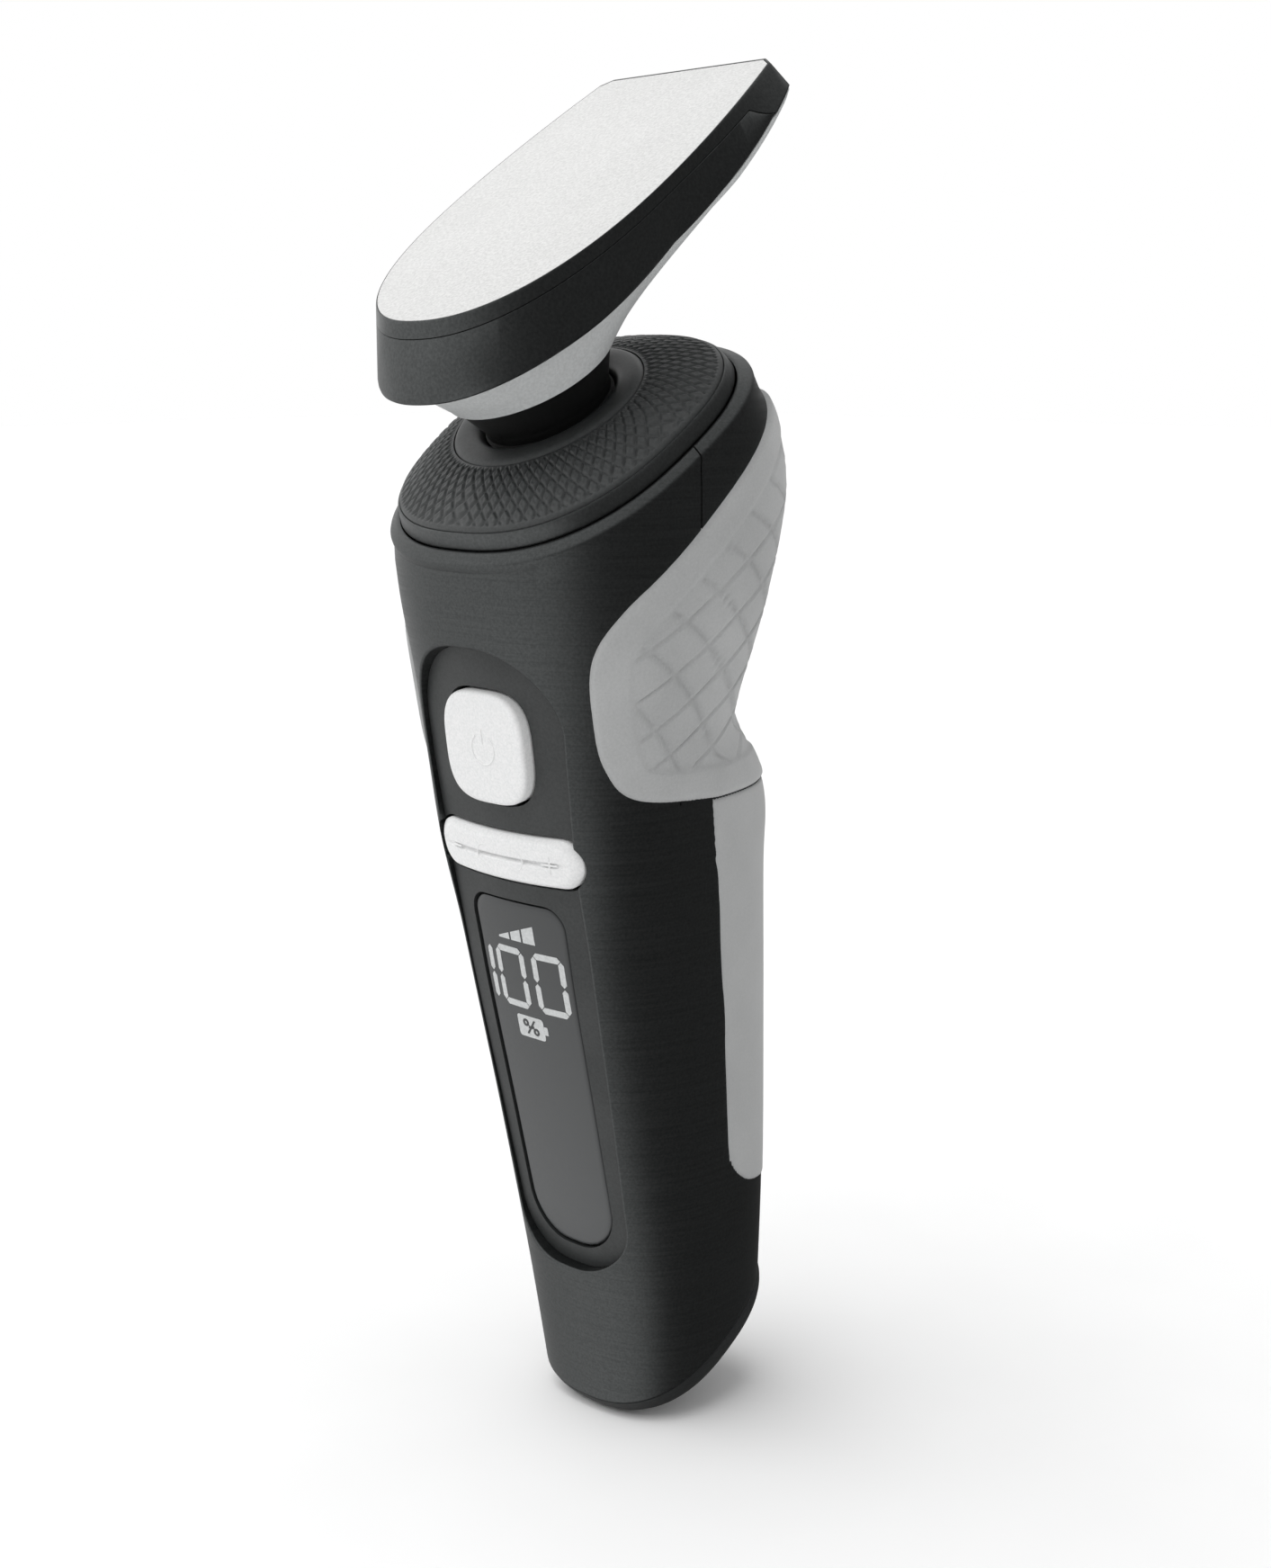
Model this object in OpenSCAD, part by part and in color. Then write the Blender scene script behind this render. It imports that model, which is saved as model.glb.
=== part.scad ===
// Electric shaver: a leaning handle with a slanted round deck, carrying a pull-off precision trimmer head.
// Millimetres, +Z up, front of the handle towards -Y. The origin is the centre of the flat foot.

/* [Handle] */
// Slant of the deck, the foot end and every section of the handle, in degrees
slant = 33; // [28:0.5:36]
// Height of the deck's rim centre above the floor
handle_h = 122; // [102:0.5:147]
// Width of the handle at its widest section
handle_w = 42.6; // [38:0.1:51]
// Depth of the handle along its widest section
handle_d = 50; // [44:0.5:60]
// Wall of the metal shells
wall = 2.6; // [1.8:0.1:3]
// Squareness of the sections: 2 is an ellipse
squareness = 2.5; // [2.2:0.1:3]

/* [Rubber grip and back cover] */
// How far the grip stands out of the shells
grip_proud = 0.5; // [0.2:0.1:0.8]
// How deep the grip and the cover are let into the shells
inlay = 1.1; // [0.8:0.1:1.3]
// Height of the ledge between grip and back cover
ledge_z = 82.5; // [78:0.5:86]

/* [Control panel] */
// Drop of the panel below the front of the shell
panel_drop = 1.9; // [1.4:0.1:2.4]
// Radius of the panel's surface across the handle
panel_r = 45; // [38:1:60]
// Thickness of the panel
panel_t = 1.6; // [1.2:0.1:2]
// Half width of the panel at the top
panel_w_top = 12.1; // [11:0.1:14.5]
// Half width of the panel at the bottom
panel_w_low = 9.6; // [8:0.1:11]
// Top of the panel
panel_top = 101; // [97:0.5:104]
// Bottom lip of the panel
panel_low = 20.3; // [18:0.1:24]
// Gap around the keys
key_gap = 0.35; // [0.25:0.05:0.5]
// Half width of the power key
power_w = 6.75; // [5.6:0.05:8.1]
// Half height of the power key
power_h = 6.9; // [5.8:0.05:8.2]
// Height of the power key's centre
power_z = 89; // [88:0.5:90]
// How far the keys stand out of the panel
key_proud = 0.9; // [0.8:0.1:1.2]
// Travel of the power key
power_travel = 0.5; // [0.3:0.1:0.6]
// Half length of the menu bar
bar_l = 12.3; // [10.5:0.1:12.6]
// Half height of the menu bar
bar_h = 3.05; // [2.6:0.05:3.4]
// Height of the menu bar's centre
bar_z = 75.6; // [75:0.1:76.5]

/* [Display] */
// Half width of the display window at the top
window_w_top = 7.8; // [7.2:0.1:8.6]
// Half width of the display window at the bottom
window_w_low = 7.1; // [6:0.1:7.6]
// Top of the display window
window_top = 69.6; // [68:0.1:70.5]
// Bottom of the display window
window_low = 23.2; // [22.5:0.1:26]
// Height of a digit
digit_h = 8.2; // [6.8:0.1:9]
// Width of a digit
digit_w = 5.4; // [4.6:0.1:5.8]
// Width of a digit's strokes
stroke = 0.85; // [0.6:0.05:1]

/* [Deck] */
// Margin of the patterned disc inside the shell's rim
disc_margin = 2.2; // [2:0.1:2.6]
// Height of the disc's edge above the rim
disc_h = 4.3; // [3.6:0.1:5]
// Rise of the disc from its edge to the collar
disc_rise = 3.2; // [2.6:0.1:3.8]
// Outer radius of the collar
collar_r = 12.2; // [11.4:0.1:13]
// Radius of the socket in the collar
socket_r = 8.3; // [7.4:0.1:9]

/* [Drive] */
// Gear module
gear_m = 0.35; // [0.3:0.01:0.42]
// Teeth of the motor pinion
pinion_teeth = 14; // [14:2:16]
// Teeth of the drive gear
gear_teeth = 28; // [28:2:32]
// Motor radius
motor_r = 7.2; // [6.2:0.1:7.6]
// Motor length
motor_l = 17; // [14:0.5:18]
// Radius of the drive shaft
shaft_r = 1.5; // [1.2:0.05:1.8]
// Running clearance of every shaft, on the radius
run_gap = 0.05; // [0.03:0.01:0.08]
// Battery cell radius
cell_r = 7; // [6.2:0.1:7.2]
// Battery cell length
cell_l = 44; // [38:1:50]

/* [Trimmer head] */
// Height of the white plate above the deck's rim
head_h = 26.8; // [24:0.1:30]
// Half width of the head
head_w = 16.8; // [14:0.1:20]
// Reach of the head in front of the neck
head_front = 12.1; // [10:0.1:14]
// Reach of the head behind the neck, to the cutting edge
head_back = 44.2; // [40:0.1:48]
// Depth of the head's side at the front
side_front = 10.6; // [9:0.1:12]
// Depth of the head's side at the tip
side_tip = 6.2; // [5.6:0.1:6.8]
// Thickness of the white plate
plate_t = 0.8; // [0.6:0.1:1]
// Wall of the head's plastic pieces
head_wall = 1.5; // [1.2:0.1:1.8]
// Radius of the head's funnel where it meets the neck
funnel_r = 10.6; // [9.8:0.1:11.2]
// Pitch of the blade teeth
tooth_pitch = 1.5; // [1.2:0.1:1.8]
// Stroke of the cutter to each side
cutter_stroke = 0.9; // [0.6:0.1:1]

/* [Charging inlet] */
// Radius of the inlet's bore
inlet_r = 1.9; // [1.6:0.05:2.2]
// Depth of the inlet's bore
inlet_l = 7; // [5.5:0.5:8]

/* [Hidden] */

side_n = 36;
eps = 0.01;
cs = cos(slant);
sn = sin(slant);

// Handle sections as shares of the driving sizes: height of centre, y of centre, half width, half depth
section_shares = [
    [0.082, 0.187, 0.629, 0.604], [0.216, 0.156, 0.704, 0.644], [0.389, 0.107, 0.751, 0.732],
    [0.520, 0.066, 0.789, 0.800], [0.581, 0.050, 0.812, 0.836], [0.619, 0.020, 0.826, 0.812],
    [0.669, -0.038, 0.850, 0.744], [0.709, -0.059, 0.869, 0.736], [0.799, -0.020, 0.925, 0.904],
    [0.886, -0.007, 0.981, 1.000], [0.949, -0.038, 1.000, 0.976], [0.989, -0.071, 0.991, 0.896]];
stations = [for (s = section_shares)
    [s[0] * handle_h, s[1] * handle_d, s[2] * handle_w / 2, s[3] * handle_d / 2]];
rim_y = -0.088 * handle_d;
rim_rx = 0.948 * handle_w / 2;
rim_ry = 0.860 * handle_d / 2;

function power_sign(c, n) = sign(c) * pow(abs(c), 2 / n);
// Radius of a polygon with n sides that clears a circle of radius r
function round_about(r, n) = r / cos(180 / n);
function mix(a, b, t) = a + (b - a) * t;
// Catmull-Rom spline through a list of points
function spline_at(p, k, t) = let (
        a = p[max(k - 1, 0)], b = p[k], c = p[k + 1], d = p[min(k + 2, len(p) - 1)])
    0.5 * (2 * b + (c - a) * t + (2 * a - 5 * b + 4 * c - d) * t * t
           + (3 * b - 3 * c + d - a) * t * t * t);
function spline(p, steps) = concat(
    [for (k = [0 : len(p) - 2]) for (j = [0 : steps - 1]) spline_at(p, k, j / steps)], [p[len(p) - 1]]);

sections = spline(stations, 2);
first = stations[0];
last = [handle_h, rim_y, rim_rx, rim_ry];
// The rim: bevelled from its outer edge up to its top, both measured square to the deck
rim_flare = 1.05;
rim_edge_h = 1.2;
rim_bevel = 0.45;
rim_top_h = 2.1;

// One slanted ring of the handle, grown outwards by g and moved by h square to its plane
function ring(s, g, h = 0) = [for (i = [0 : side_n - 1]) let (
        t = 360 * i / side_n,
        v = (s[3] + g / cs) * power_sign(sin(t), squareness))
    [(s[2] + g) * power_sign(cos(t), squareness), s[1] + v * cs - h * sn, s[0] + v * sn + h * cs]];

// Closed skin over a list of rings that all have the same number of points
module skin(rings) {
    n = len(rings[0]);
    m = len(rings);
    polyhedron(
        points = [for (r = rings) each r],
        faces = concat(
            [[for (i = [0 : n - 1]) i]],
            [[for (i = [0 : n - 1]) (m - 1) * n + n - 1 - i]],
            [for (k = [0 : m - 2]) for (i = [0 : n - 1]) let (j = (i + 1) % n)
                [k * n + i, (k + 1) * n + i, (k + 1) * n + j]],
            [for (k = [0 : m - 2]) for (i = [0 : n - 1]) let (j = (i + 1) % n)
                [k * n + i, (k + 1) * n + j, k * n + j]]),
        convexity = 8);
}

// Closed tube over a loop of rings that all have the same number of points
module tube(rings) {
    n = len(rings[0]);
    m = len(rings);
    polyhedron(
        points = [for (r = rings) each r],
        faces = [for (k = [0 : m - 1]) for (i = [0 : n - 1]) let (j = (i + 1) % n, a = k * n, b = ((k + 1) % m) * n)
            each [[a + i, b + i, b + j], [a + i, b + j, a + j]]],
        convexity = 8);
}

// A free-form piece, kept as one closed mesh
module free_form() {
    resize([0, 0, 0])
        children();
}

// The handle's outside, from the cap's seam to the rim; reach lengthens it past both ends
module handle_skin(g = 0, reach = 0) {
    skin(concat(
        reach > 0 ? [ring(first, g, -reach)] : [],
        [for (s = sections) ring(s, g)],
        [ring(last, g + rim_flare, rim_edge_h)],
        reach > 0 ? [ring(last, g + rim_flare, rim_edge_h + reach)] : []));
}

// A prism across the handle from an outline of [y, z] points
module side_prism(outline) {
    rotate([90, 0, 90])
        linear_extrude(height = 2 * handle_w, center = true)
            polygon(outline);
}

// A prism along Y from an outline of [x, z] points
module front_prism(outline) {
    rotate([90, 0, 0])
        linear_extrude(height = 3 * handle_d, center = true)
            polygon(outline);
}

// Frame of the deck: origin at the rim's centre, +Z square to the deck, +Y up its slope
module on_deck(v = 0, h = 0) {
    translate([0, rim_y, handle_h])
        rotate([slant, 0, 0])
            translate([0, v, h])
                children();
}
function deck_point(x, v, h) = [x, rim_y + v * cs - h * sn, handle_h + v * sn + h * cs];

// ---- Outlines in the side view -------------------------------------------------------------------
seam_y = -5 * handle_d / 50;
sy = handle_d / 50;
sz = handle_h / 122;
far = 2 * handle_d;
grip_edge = spline([for (p = [[13.2, 129.6], [1.4, 120.2], [-10.2, 110.3], [-14.9, 105.6], [-17, 100.6],
                              [-16.2, 93.2], [-14.7, 87.6], [-11.6, 84], [-3.6, 82.9]])
                    [p[0] * sy, p[1] * sz]], 4);
grip_outline = concat(grip_edge, [[2 * sy, ledge_z * sz], [far, ledge_z * sz], [far, 130.5 * sz],
                                  [17 * sy, 130.5 * sz]]);
cover_edge = spline([for (p = [[0.8, ledge_z], [3.1, 67.5], [5.2, 53.5], [6.4, 40], [7.4, 34.6],
                               [10.8, 31.3], [15.5, 30.2]])
                     [p[0] * sy, p[1] * sz]], 3);
cover_outline = concat(cover_edge, [[far, 30 * sz], [far, ledge_z * sz]]);
rear_outline = [[seam_y, ledge_z * sz], [far, ledge_z * sz], [far, 2 * handle_h], [seam_y, 2 * handle_h]];

// ---- Front panel ---------------------------------------------------------------------------------
front_table = [for (s = sections) [s[0] - s[3] * sn, s[1] - s[3] * cs]];
function panel_y(z) = lookup(z, front_table) + panel_drop;
function panel_lean(z) = atan((panel_y(z - 3) - panel_y(z + 3)) / 6);

// Curved slab that follows the panel's surface, from depth a to depth b behind it
module panel_slab(a, b, low, top, half) {
    nx = 8;
    nz = 14;
    row = 2 * (nx + 1);
    function face_y(x, z) = panel_y(z) + x * x / (2 * panel_r);
    rows = [for (k = [0 : nz]) let (z = mix(low, top, k / nz)) concat(
        [for (i = [0 : nx]) let (x = mix(-half, half, i / nx)) [x, face_y(x, z) + a, z]],
        [for (i = [nx : -1 : 0]) let (x = mix(-half, half, i / nx)) [x, face_y(x, z) + b, z]])];
    skin(rows);
}

// Everything in front of the panel's back, to cut the pieces that bear on it
module behind_panel() {
    panel_slab(-6, panel_t, panel_low - 3, panel_top + 3, 1.3 * panel_w_top);
}

// Frame on the panel's surface at height z: +Z out of the panel, +Y up along it
module on_panel(z) {
    translate([0, panel_y(z), z])
        rotate([90 + panel_lean(z), 0, 0])
            children();
}

// Outline with rounded ends and sides that taper from w_low up to w_top
function round_corner(cx, cz, rx, rz, from) =
    [for (k = [0 : 6]) let (t = from + 15 * k) [cx + rx * cos(t), cz + rz * sin(t)]];
function taper_outline(w_low, w_top, low, top, rx_low, rz_low, rx_top, rz_top) = concat(
    round_corner(w_top - rx_top, top - rz_top, rx_top, rz_top, 0),
    round_corner(rx_top - w_top, top - rz_top, rx_top, rz_top, 90),
    round_corner(rx_low - w_low, low + rz_low, rx_low, rz_low, 180),
    round_corner(w_low - rx_low, low + rz_low, rx_low, rz_low, 270));
function superellipse(a, b, n, count) =
    [for (i = [0 : count - 1]) let (t = 360 * i / count) [a * power_sign(cos(t), n), b * power_sign(sin(t), n)]];
function stadium(l, r) = concat(
    [for (k = [-6 : 6]) [l - r + r * cos(15 * k), r * sin(15 * k)]],
    [for (k = [6 : 18]) [r - l + r * cos(15 * k), r * sin(15 * k)]]);

panel_outline = taper_outline(panel_w_low, panel_w_top, panel_low, panel_top, 8.4, 7, 10.5, 9.5);
window_outline = taper_outline(window_w_low, window_w_top, window_low, window_top, 6, 6, 2.6, 2.6);
window_set = 0.25;
window_t = 0.9;
power_corner = 3.2;
key_depth = 3;

module key_cut(points) {
    translate([0, 0, -6])
        linear_extrude(height = 14)
            polygon(points);
}

// ---- Handle pieces -------------------------------------------------------------------------------
// The handle's wall, as one closed surface up the outside, over the rim and down the inside
module hollow_handle() {
    tube(concat([for (s = sections) ring(s, 0)],
                [ring(last, rim_flare, rim_edge_h), ring(last, -rim_bevel, rim_top_h), ring(last, -wall, rim_top_h)],
                [for (k = [len(sections) - 1 : -1 : 0]) ring(sections[k], -wall)]));
}

module inlay_cut(outline) {
    difference() {
        side_prism(outline);
        handle_skin(g = -inlay, reach = 4);
    }
}

module front_shell() {
    color("#3a3c3d")
    free_form()
        difference() {
            hollow_handle();
            side_prism(rear_outline);
            inlay_cut(grip_outline);
            inlay_cut(cover_outline);
            intersection() {
                front_prism(panel_outline);
                panel_slab(-20, panel_t + 6, panel_low - 3, panel_top + 3, 1.3 * panel_w_top);
            }
            on_panel(bar_z)
                key_cut(stadium(bar_l + key_gap, bar_h + key_gap));
        }
}

module rear_shell() {
    color("#343637")
    free_form()
        difference() {
            intersection() {
                hollow_handle();
                side_prism(rear_outline);
            }
            inlay_cut(grip_outline);
        }
}

module rubber_grip() {
    color("#8f9192")
    free_form()
        intersection() {
            difference() {
                handle_skin(g = grip_proud);
                handle_skin(g = -inlay, reach = 4);
            }
            side_prism(grip_outline);
        }
}

module back_cover() {
    color("#8a8c8d")
    free_form()
        intersection() {
            difference() {
                handle_skin(g = 0.1);
                handle_skin(g = -inlay, reach = 4);
            }
            side_prism(cover_outline);
        }
}

cap_depth = 3.8;
foot_half = 2 * handle_w;
inlet_v = 1.5;
module bottom_cap() {
    color("#2f3132")
        difference() {
            free_form()
                difference() {
                    skin([ring(first, -2.4, -cap_depth), ring(first, -1, -3.2), ring(first, -0.25, -2),
                          ring(first, 0)]);
                    translate([-foot_half, -foot_half, -10])
                        cube([2 * foot_half, 2 * foot_half, 10]);
                }
            inlet_frame()
                cylinder(h = 20, r = inlet_r + 1.4, center = true, $fn = 48);
        }
}

// Frame of the charging inlet: origin at its mouth on the cap, +Z into the handle
module inlet_frame() {
    translate([0, first[1], first[0]])
        rotate([slant, 0, 0])
            translate([0, inlet_v, -cap_depth])
                children();
}

module charging_socket() {
    color("#1c1d1e")
        inlet_frame()
            difference() {
                union() {
                    cylinder(h = inlet_l + 1.5, r = inlet_r + 1.4, $fn = 48);
                    translate([-inlet_r - 2.6, -inlet_r - 2.6, cap_depth])
                        cube([2 * inlet_r + 5.2, 2 * inlet_r + 5.2, inlet_l + 1.5 - cap_depth]);
                }
                translate([0, 0, -eps])
                    cylinder(h = inlet_l + eps, r = inlet_r, $fn = 48);
            }
}

module front_panel() {
    color("#3d3f40")
    free_form()
        difference() {
            intersection() {
                front_prism(panel_outline);
                panel_slab(0, panel_t, panel_low - 3, panel_top + 3, 1.3 * panel_w_top);
            }
            intersection() {
                front_prism(window_outline);
                panel_slab(-2, window_set + window_t, window_low - 3, window_top + 3, 1.3 * window_w_top);
            }
            on_panel(power_z)
                key_cut(superellipse(power_w + key_gap, power_h + key_gap, power_corner, 48));
            on_panel(bar_z)
                key_cut(stadium(bar_l + key_gap, bar_h + key_gap));
        }
}

module display_window() {
    color("#26292a")
    free_form()
        intersection() {
            front_prism(window_outline);
            panel_slab(window_set, window_set + window_t, window_low - 3, window_top + 3, 1.3 * window_w_top);
        }
}

// Seven-segment strokes as bars of the given list, centred on the digit's middle
digit_z = 59.4;
module seven_segment(on) {
    w = digit_w / 2 - stroke / 2;
    h = digit_h / 2 - stroke / 2;
    l = 0.42 * digit_h - stroke;
    m = digit_w - 1.6 * stroke;
    bars = [[0, h, m, stroke], [w, h / 2, stroke, l], [w, -h / 2, stroke, l], [0, -h, m, stroke],
            [-w, -h / 2, stroke, l], [-w, h / 2, stroke, l], [0, 0, m, stroke]];
    for (k = on)
        translate([bars[k][0] - bars[k][2] / 2, bars[k][1] - bars[k][3] / 2])
            square([bars[k][2], bars[k][3]]);
}

symbol_t = 0.12;
module display_symbols() {
    color("#d8dada")
    free_form()
        intersection() {
            rotate([90, 0, 0])
                linear_extrude(height = 3 * handle_d, center = true) {
                    translate([-4.9 - digit_w / 2 + stroke, digit_z])
                        seven_segment([1, 2]);
                    translate([-2.2, digit_z])
                        seven_segment([0, 1, 2, 3, 4, 5]);
                    translate([4.6, digit_z])
                        seven_segment([0, 1, 2, 3, 4, 5]);
                    for (k = [0 : 2])
                        translate([-2.6 + 2.1 * k, digit_z + digit_h / 2 + 1.3])
                            square([1.8, 0.8 + 0.6 * k]);
                    translate([-1.7, digit_z - digit_h / 2 - 3.6])
                        square([3.9, 2.4]);
                    translate([2.2, digit_z - digit_h / 2 - 2.9])
                        square([0.5, 1]);
                }
            panel_slab(window_set - symbol_t, window_set, window_low, window_top, 1.1 * window_w_top);
        }
}

// ---- Keys ----------------------------------------------------------------------------------------
module power_button() {
    color("#e9eaea")
        on_panel(power_z) {
            translate([0, 0, -key_depth])
                linear_extrude(height = key_depth + key_proud - 0.4)
                    polygon(superellipse(power_w, power_h, power_corner, 48));
            translate([0, 0, key_proud - 0.4])
                linear_extrude(height = 0.4)
                    polygon(superellipse(power_w - 0.4, power_h - 0.4, power_corner, 48));
            translate([0, 0, -key_depth - 1.4])
                cylinder(h = 1.5, r = 1.2, $fn = 32);
        }
}

carrier_top = key_depth + 2.4;
// The tray's floor is flat, so pieces set square to the curved panel stand a little off it
power_lift = 0.22;
bar_lift = 0.04;
module power_spring() {
    color("#b8babb")
        on_panel(power_z)
            translate([0, 0, power_lift - carrier_top])
                difference() {
                    cylinder(h = carrier_top - key_depth - power_lift, r = 2.6, $fn = 32);
                    translate([0, 0, -1])
                        cylinder(h = carrier_top, r = 2, $fn = 32);
                }
}

pin_r = 0.9;
pin_z = -3.6;
module menu_bar() {
    color("#e4e5e5")
        on_panel(bar_z)
            difference() {
                union() {
                    intersection() {
                        key_cut(stadium(bar_l, bar_h));
                        translate([0, 0, -panel_r])
                            rotate([90, 0, 0])
                                difference() {
                                    cylinder(h = 20, r = panel_r + key_proud, center = true, $fn = 96);
                                    cylinder(h = 21, r = panel_r - 2.2, center = true, $fn = 96);
                                }
                    }
                    translate([-2.4, -1.8, -5.2])
                        cube([4.8, 3.6, 4.2]);
                }
                translate([0, 0, pin_z])
                    rotate([90, 0, 0])
                        cylinder(h = 12, r = pin_r + run_gap, center = true, $fn = 48);
            }
}

pin_half = bar_h + key_gap + 1.4;
module menu_pin() {
    color("#c4c6c7")
        on_panel(bar_z)
            translate([0, 0, pin_z])
                rotate([90, 0, 0])
                    cylinder(h = 2 * pin_half, r = pin_r, center = true, $fn = 48);
}

// Tray behind the panel: floor under both keys, lugs for the bar's pin, a seat for the spring
tray_z = (power_z + bar_z) / 2;
tray_up = (power_z - bar_z) / 2;
tray_t = 1.2;
board_t = 1.2;
lug_gap = bar_h + key_gap + 0.1;
module key_carrier() {
    color("#55585a")
    free_form()
        difference() {
            on_panel(tray_z)
                union() {
                    translate([-9.5, -tray_up - bar_h - 3.6, -carrier_top - tray_t])
                        cube([19, 2 * tray_up + bar_h + power_h + 6, tray_t]);
                    for (s = [0, 1])
                        mirror([0, s, 0])
                            translate([-2.2, (1 - 2 * s) * -tray_up + lug_gap, -carrier_top])
                                cube([4.4, 1.3, carrier_top + pin_z + 1.6]);
                    for (s = [-1, 1])
                        translate([8.9 * s - 0.6, -tray_up + bar_h + 1.4, -carrier_top])
                            cube([1.2, 2 * tray_up + power_h - bar_h - 2.4, carrier_top - 1]);
                }
            behind_panel();
            on_panel(bar_z)
                translate([0, 0, pin_z])
                    rotate([90, 0, 0])
                        cylinder(h = 20, r = pin_r, center = true, $fn = 48);
        }
}

module tact_switches() {
    color("#2a2b2c") {
        on_panel(power_z)
            translate([0, 0, power_lift - carrier_top])
                cylinder(h = carrier_top - power_lift - key_depth - 1.4 - power_travel - 0.1, r = 1.5, $fn = 32);
        for (s = [-1, 1])
            on_panel(bar_z)
                translate([8 * s, 0, bar_lift - carrier_top])
                    cylinder(h = carrier_top - bar_lift - 3.65, r = 1.5, $fn = 32);
    }
}

// ---- Inside the handle ---------------------------------------------------------------------------
board_low = 56;
board_high = 14;
module board_solid() {
    on_panel(tray_z)
        translate([-9.5, -board_low, -carrier_top - tray_t - board_t])
            cube([19, board_low + board_high, board_t]);
}

module circuit_board() {
    color("#1f5a34")
        board_solid();
}

module display_module() {
    color("#1f2a2c")
    free_form()
        difference() {
            on_panel(digit_z)
                translate([-window_w_low - 0.4, -9.5, -carrier_top - tray_t - board_t])
                    cube([2 * window_w_low + 0.8, 19, carrier_top + tray_t + board_t - panel_t + 1.5]);
            behind_panel();
            on_panel(tray_z)
                translate([-handle_w, -2 * board_low, -carrier_top - tray_t - 30])
                    cube([2 * handle_w, 4 * board_low, 30]);
        }
}

// Frame of the battery cell: origin at the middle of its lower end, +Z up its axis
cell_lean = 8;
cell_y = 8.5;
cell_z = 19;
contact_t = 0.5;
module in_cell() {
    translate([0, cell_y, cell_z])
        rotate([cell_lean, 0, 0])
            children();
}

module battery_cell() {
    color("#3d6ea8")
        in_cell()
            cylinder(h = cell_l, r = cell_r, $fn = 64);
}

module battery_contacts() {
    color("#c9c6b8")
        difference() {
            in_cell()
                for (z = [-contact_t, cell_l])
                    translate([0, 0, z]) {
                        cylinder(h = contact_t, r = 4.5, $fn = 32);
                        translate([-2, -cell_r - 4, 0])
                            cube([4, cell_r + 4, contact_t]);
                    }
            board_solid();
            on_panel(tray_z)
                translate([-20, -90, -carrier_top - tray_t - eps])
                    cube([40, 180, 40]);
        }
}

// Ribs across the cavity behind the board, joined by two rails, that hold the cell
rib_t = 2;
module chassis() {
    color("#4a4d4f")
    free_form()
        difference() {
            intersection() {
                handle_skin(g = -wall);
                union() {
                    for (k = [0, 1, 2])
                        translate([-handle_w, -handle_d, cell_z + 2 + k * (cell_l - 6) / 2])
                            cube([2 * handle_w, 2 * handle_d, rib_t]);
                    in_cell()
                        for (s = [-1, 1])
                            translate([(cell_r + 1.4) * s - 0.8, -2, 2])
                                cube([1.6, 4, cell_l - 3]);
                }
            }
            on_panel(tray_z)
                translate([-handle_w, -2 * board_low, -carrier_top - tray_t - board_t])
                    cube([2 * handle_w, 4 * board_low, 60]);
            in_cell()
                cylinder(h = 3 * cell_l, r = round_about(cell_r, 64), center = true, $fn = 64);
        }
}

// ---- Deck ----------------------------------------------------------------------------------------
disc_rx = rim_rx - disc_margin + 0.9;
disc_ry = rim_ry - disc_margin + 0.7;
disc_low = disc_h - 1.7;
collar_top = disc_h + disc_rise + 0.5;
fit_gap = 0.1;
spigot_rx = rim_rx - wall - fit_gap;
spigot_ry = rim_ry - wall / cs - fit_gap;
bay_rx = spigot_rx - 2;
bay_ry = spigot_ry - 2;
deck_t = 3;
ring_edge = 0.65;
band_low = rim_top_h + 0.1;

function deck_points(rx, ry, n, h) = [for (i = [0 : 47]) let (t = 7.5 * i)
    [rx * power_sign(cos(t), n), ry * power_sign(sin(t), n), h]];
module deck_prism(rx, ry, low, high) {
    translate([0, 0, low])
        linear_extrude(height = high - low)
            polygon([for (p = deck_points(rx, ry, squareness, 0)) [p[0], p[1]]]);
}

module deck_ring() {
    function at(rx, ry, h) = deck_points(rx, ry, squareness, h);
    color("#3f4142")
    free_form()
        on_deck()
            tube([at(spigot_rx, spigot_ry, -deck_t), at(spigot_rx, spigot_ry, band_low),
                  at(rim_rx - ring_edge, rim_ry - ring_edge, band_low), at(disc_rx + 0.4, disc_ry + 0.4, disc_h - 0.3),
                  at(disc_rx, disc_ry, disc_h - 0.3), at(disc_rx, disc_ry, disc_low),
                  at(bay_rx, bay_ry, disc_low), at(bay_rx, bay_ry, -deck_t)]);
}

module knurled_disc() {
    color("#2e3031")
    free_form()
        on_deck()
            difference() {
                skin([deck_points(disc_rx, disc_ry, squareness, disc_low),
                      deck_points(disc_rx, disc_ry, squareness, disc_h - 0.3),
                      deck_points(disc_rx - 0.4, disc_ry - 0.4, squareness, disc_h),
                      deck_points(mix(disc_rx, collar_r, 0.3), mix(disc_ry, collar_r, 0.3), 2.4,
                                  disc_h + 0.42 * disc_rise),
                      deck_points(mix(disc_rx, collar_r, 0.65), mix(disc_ry, collar_r, 0.65), 2.2,
                                  disc_h + 0.78 * disc_rise),
                      deck_points(collar_r - 0.4, collar_r - 0.4, 2, disc_h + disc_rise)]);
                cylinder(h = 40, r = round_about(collar_r, 96), center = true, $fn = 96);
            }
}

module collar_ring() {
    color("#3a3c3d")
        on_deck()
            rotate_extrude($fn = 96)
                polygon([[socket_r, 0], [collar_r, 0], [collar_r, collar_top - 0.9], [collar_r - 0.7, collar_top],
                         [socket_r + 0.4, collar_top], [socket_r, collar_top - 0.4]]);
}

bush_r = 3.2;
gear_gap = 3.5;
plate_low = -deck_t - gear_gap - 1.5;
post_x = 8.5;
post_v = [min(-10.2, 4.3 - bay_ry), 6.5];
post_r = 1.7;
screw_r = 0.8;
gear_centre = gear_m * (pinion_teeth + gear_teeth) / 2;

module at_posts() {
    for (s = [-1, 1])
        for (v = post_v)
            translate([post_x * s, v, 0])
                children();
}

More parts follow.
